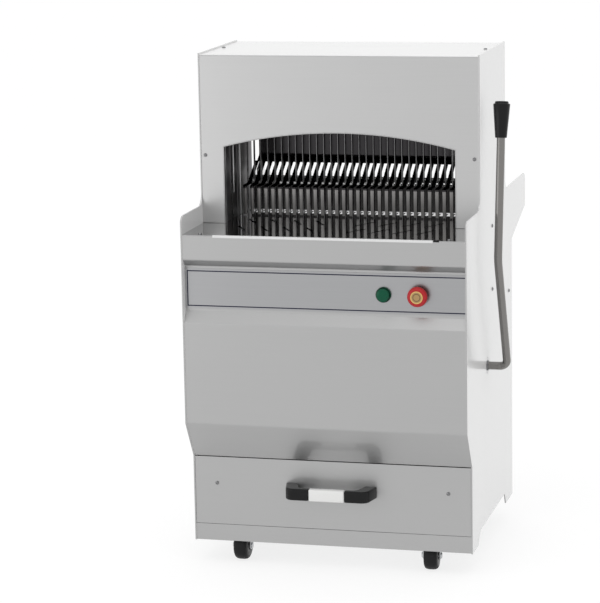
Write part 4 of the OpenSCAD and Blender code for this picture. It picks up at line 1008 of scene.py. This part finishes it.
paint(wheel, (tread_rubber, hub_moulded), wheel_coat)
smooth(wheel, 40)
arm_line = rounded_line([(10, 67.9), (-18, 67.9), (-27, 22), (-9, 22)], [1, 3, 8, 8], 6, closed=True)
arms = [soften(across("arm", arm_line, x - ARM_T / 2, x + ARM_T / 2), PLATE_BEVEL) for x in (-ARM_X, ARM_X)]
crown_profile = [(4.1, 65), (21, 65), (23, 65.8), (23, 67), (21.5, 68), (4.1, 68)]
crown = add_lathe("crown", crown_profile, (0, 0, 0), steps=40)
axle_profile = [(0, 0), (6, 0), (6.5, 0.6), (6.5, 2.3), (4, 2.4), (4, 40.6), (6.5, 40.7), (6.5, 42.4), (6, 43), (0, 43)]
axle = add_lathe("axle", axle_profile, (-21.5, -TRAIL, WHEEL_R), (1, 0, 0), 6)
fork = joined("fork", arms + [crown, axle])
smooth(fork, 35)
print("wheel", len(wheel.data.polygons), "faces, fork", len(fork.data.polygons))

# %% Four casters
CASTERS = {"fl": (-205, -161, -2), "fr": (205, -161, 2), "rl": (-205, 209, 12), "rr": (205, 209, -32)}
for key, (x, y, turn) in CASTERS.items():
    to_caster = Matrix.Translation(mm(x, y, 0)) @ Matrix.Rotation(math.radians(turn), 4, "Z")
    place(copied(wheel, "caster_wheel_%s_skin" % key, to_caster), "wheel_" + key, "caster_rubber", None,
          "caster_wheel_" + key)
    place(copied(fork, "caster_fork_%s_skin" % key, to_caster), "swivel_" + key, "zinc_steel", zinc,
          "caster_fork_" + key)
removed(wheel)
removed(fork)
dress(zinc, "caster_plates")
print(len(CASTERS), "casters")

# %% [markdown]
# ## Back and cable gland
# The back sheet closes the cabinet, and a pan folds up under the loading wings. The cable gland is a ribbed nut
# round a soft throat.

# %% Back cover and wing pan
GLAND_X, GLAND_Z, GLAND_HOLE = -198.0, 159.0, 20.0
BACK_FACE, PAN_FACE, PAN_TOP = REAR - 1.5, WING_R - 1.5, 712.8
back_inner = BACK_FACE - SHEET_T
rear_cover = add_block("rear_cover_skin", (-INNER, back_inner, PLINTH_TOP), (INNER, BACK_FACE, PAN_FOLD))
cut(rear_cover, add_bar("gland_hole", (GLAND_X, back_inner - THROUGH, GLAND_Z),
                        (GLAND_X, BACK_FACE + THROUGH, GLAND_Z), GLAND_HOLE, 32))
soften(rear_cover, 0.4)
pan_points = [(BACK_FACE, PAN_FOLD), (PAN_FACE, PAN_EDGE), (PAN_FACE, PAN_TOP)]
wing_pan = across("wing_pan_skin", thickened(rounded_line(pan_points, [0, 4, 0], 6), SHEET_T), -INNER, INNER)
smooth(wing_pan, FOLD_ANGLE)
place(wing_pan, "chassis", "stainless", satin, "wing_pan")
place(rear_cover, "chassis", "stainless", satin, "rear_cover")
print("back cover", len(rear_cover.data.polygons), "faces")

# %% Cable gland
CORD_R = 5.0
gland_at = (GLAND_X, BACK_FACE, GLAND_Z)
nut_profile = [(CORD_R, 0), (15, 0), (15, 6), (13.5, 7.5), (13, 11), (10.5, 13), (CORD_R, 13)]
nut = add_lathe("gland_nut", nut_profile, gland_at, (0, 1, 0), 12)
throat_profile = [(CORD_R, -13), (10, -13), (10, 0.5), (CORD_R, 0.5)]
throat = add_lathe("gland_throat", throat_profile, gland_at, (0, 1, 0), 32)
gland = joined("power_gland_skin", [nut, throat])
smooth(gland, 30)
place(gland, "chassis", "black_plastic", black_moulded, "power_gland")
print("gland bore", 2 * CORD_R, "mm")

# %% [markdown]
# ## Inside
# The drive and the frames are seen through the mouth, through the loading bay and with the drawer out. Their CAD
# shapes are right, so they keep them and take the finish of what they are made of.

# %% Inner finishes
dress(dark_coat, "base_rails", "drive_shelf", "rod_holders")
dress(turned, "guide_rods", "carriage_rods", "front_conrod", "rear_conrod")
dress(turned, "crankshaft", "crank_pulley", "motor_pulley")
dress(casting, "crank_bearings")
dress(motor_coat, "motor_body")
dress(belt_rubber, "drive_belt")
dress(aluminium, "front_blade_frame", "rear_blade_frame")
dress(blade_steel, "front_blades", "rear_blades")
print("inner nodes dressed")

# %% [markdown]
# ## Floor, light and camera
# A pale floor runs into a white room. A broad soft lamp at the left and one above give the flat, even light of a
# catalogue. The camera stands where the photograph was taken from.


# %% What the eye sees
def seen_rays(tree, share):
    """One number: the share where the eye, a mirror or glass looks, and 0 for the light that falls on things."""
    path = add_node(tree, "ShaderNodeLightPath").outputs
    first, second, part = (add_node(tree, "ShaderNodeMath") for _ in range(3))
    first.operation = second.operation = "MAXIMUM"
    part.operation = "MULTIPLY"
    part.inputs[1].default_value = share
    tree.links.new(path["Is Camera Ray"], first.inputs[0])
    tree.links.new(path["Is Glossy Ray"], first.inputs[1])
    tree.links.new(first.outputs["Value"], second.inputs[0])
    tree.links.new(path["Is Transmission Ray"], second.inputs[1])
    tree.links.new(second.outputs["Value"], part.inputs[0])
    return part.outputs["Value"]


print("camera, mirror and glass rays are told apart")

# %% Floor
FLOOR_SIZE, FLOOR_Z, PAPER_WHITE, PAPER_ROUGH, GLOW, GLOW_SHARE = 60, -0.0005, 0.94, 0.8, 1.06, 0.75
clear_selection()
bpy.ops.mesh.primitive_plane_add(size=FLOOR_SIZE, location=(0, 0, FLOOR_Z))
floor = named("studio_floor")
paper = bpy.data.materials.new("floor_paper")
paper.use_nodes = True
tree = paper.node_tree
sheet = feed(tree, tree.nodes["Principled BSDF"], Base_Color=(*even(PAPER_WHITE), 1), Roughness=PAPER_ROUGH)
glow = add_node(tree, "ShaderNodeEmission", Strength=GLOW)
shared = add_node(tree, "ShaderNodeMixShader", Fac=seen_rays(tree, GLOW_SHARE))
tree.links.new(sheet.outputs["BSDF"], shared.inputs[1])
tree.links.new(glow.outputs["Emission"], shared.inputs[2])
feed(tree, tree.nodes["Material Output"], Surface=shared.outputs["Shader"])
floor.data.materials.append(paper)
print("floor", FLOOR_SIZE, "m wide")

# %% Room
ROOM_LIGHT, ROOM_SEEN = 0.87, 1.0
world = bpy.data.worlds.new("white_room")
scene.world = world
world.use_nodes = True
room = world.node_tree
level = add_node(room, "ShaderNodeMapRange", Value=seen_rays(room, 1.0), To_Min=ROOM_LIGHT, To_Max=ROOM_SEEN)
feed(room, room.nodes["Background"], Color=(1, 1, 1, 1), Strength=level.outputs["Result"])
print("room lights at", ROOM_LIGHT, "and is seen at", ROOM_SEEN)


# %% Lamps
def add_lamp(name, at, target, size, watts):
    clear_selection()
    bpy.ops.object.light_add(type="AREA", location=at)
    lamp = named(name)
    lamp.data.shape = "RECTANGLE"
    lamp.data.size, lamp.data.size_y = size
    lamp.data.energy = watts
    lamp.rotation_euler = (Vector(target) - Vector(at)).to_track_quat("-Z", "Y").to_euler()
    return lamp


key_lamp = add_lamp("key_lamp", (-1.9, -1.95, 0.7), (-0.3, -0.25, 0.45), (2.0, 1.3), 6.5)
top_lamp = add_lamp("top_lamp", (0.3, -0.6, 3.6), (0, 0, 0.6), (3.0, 3.0), 18)
print("lamps", key_lamp.data.energy, "W and", top_lamp.data.energy, "W")

# %% Camera
FOCAL_PX, FRAME_H = 2596.37, 603.0
CAMERA_AT = (1.25408, -5.33235, 1.59656)
yaw, pitch, roll = (math.radians(a) for a in (14.4171, 10.9795, -1.0465))
ahead = Vector((-math.sin(yaw) * math.cos(pitch), math.cos(yaw) * math.cos(pitch), -math.sin(pitch)))
right = Vector((math.cos(yaw), math.sin(yaw), 0))
upward = right.cross(ahead)
cam_x = right * math.cos(roll) + upward * math.sin(roll)
cam_y = upward * math.cos(roll) - right * math.sin(roll)
clear_selection()
bpy.ops.object.camera_add()
camera = named("photo_camera")
camera.matrix_world = Matrix.Translation(CAMERA_AT) @ Matrix((cam_x, cam_y, -ahead)).transposed().to_4x4()
camera.data.lens = FOCAL_PX * camera.data.sensor_width / FRAME_H
scene.camera = camera
print("lens", round(camera.data.lens, 1), "mm")
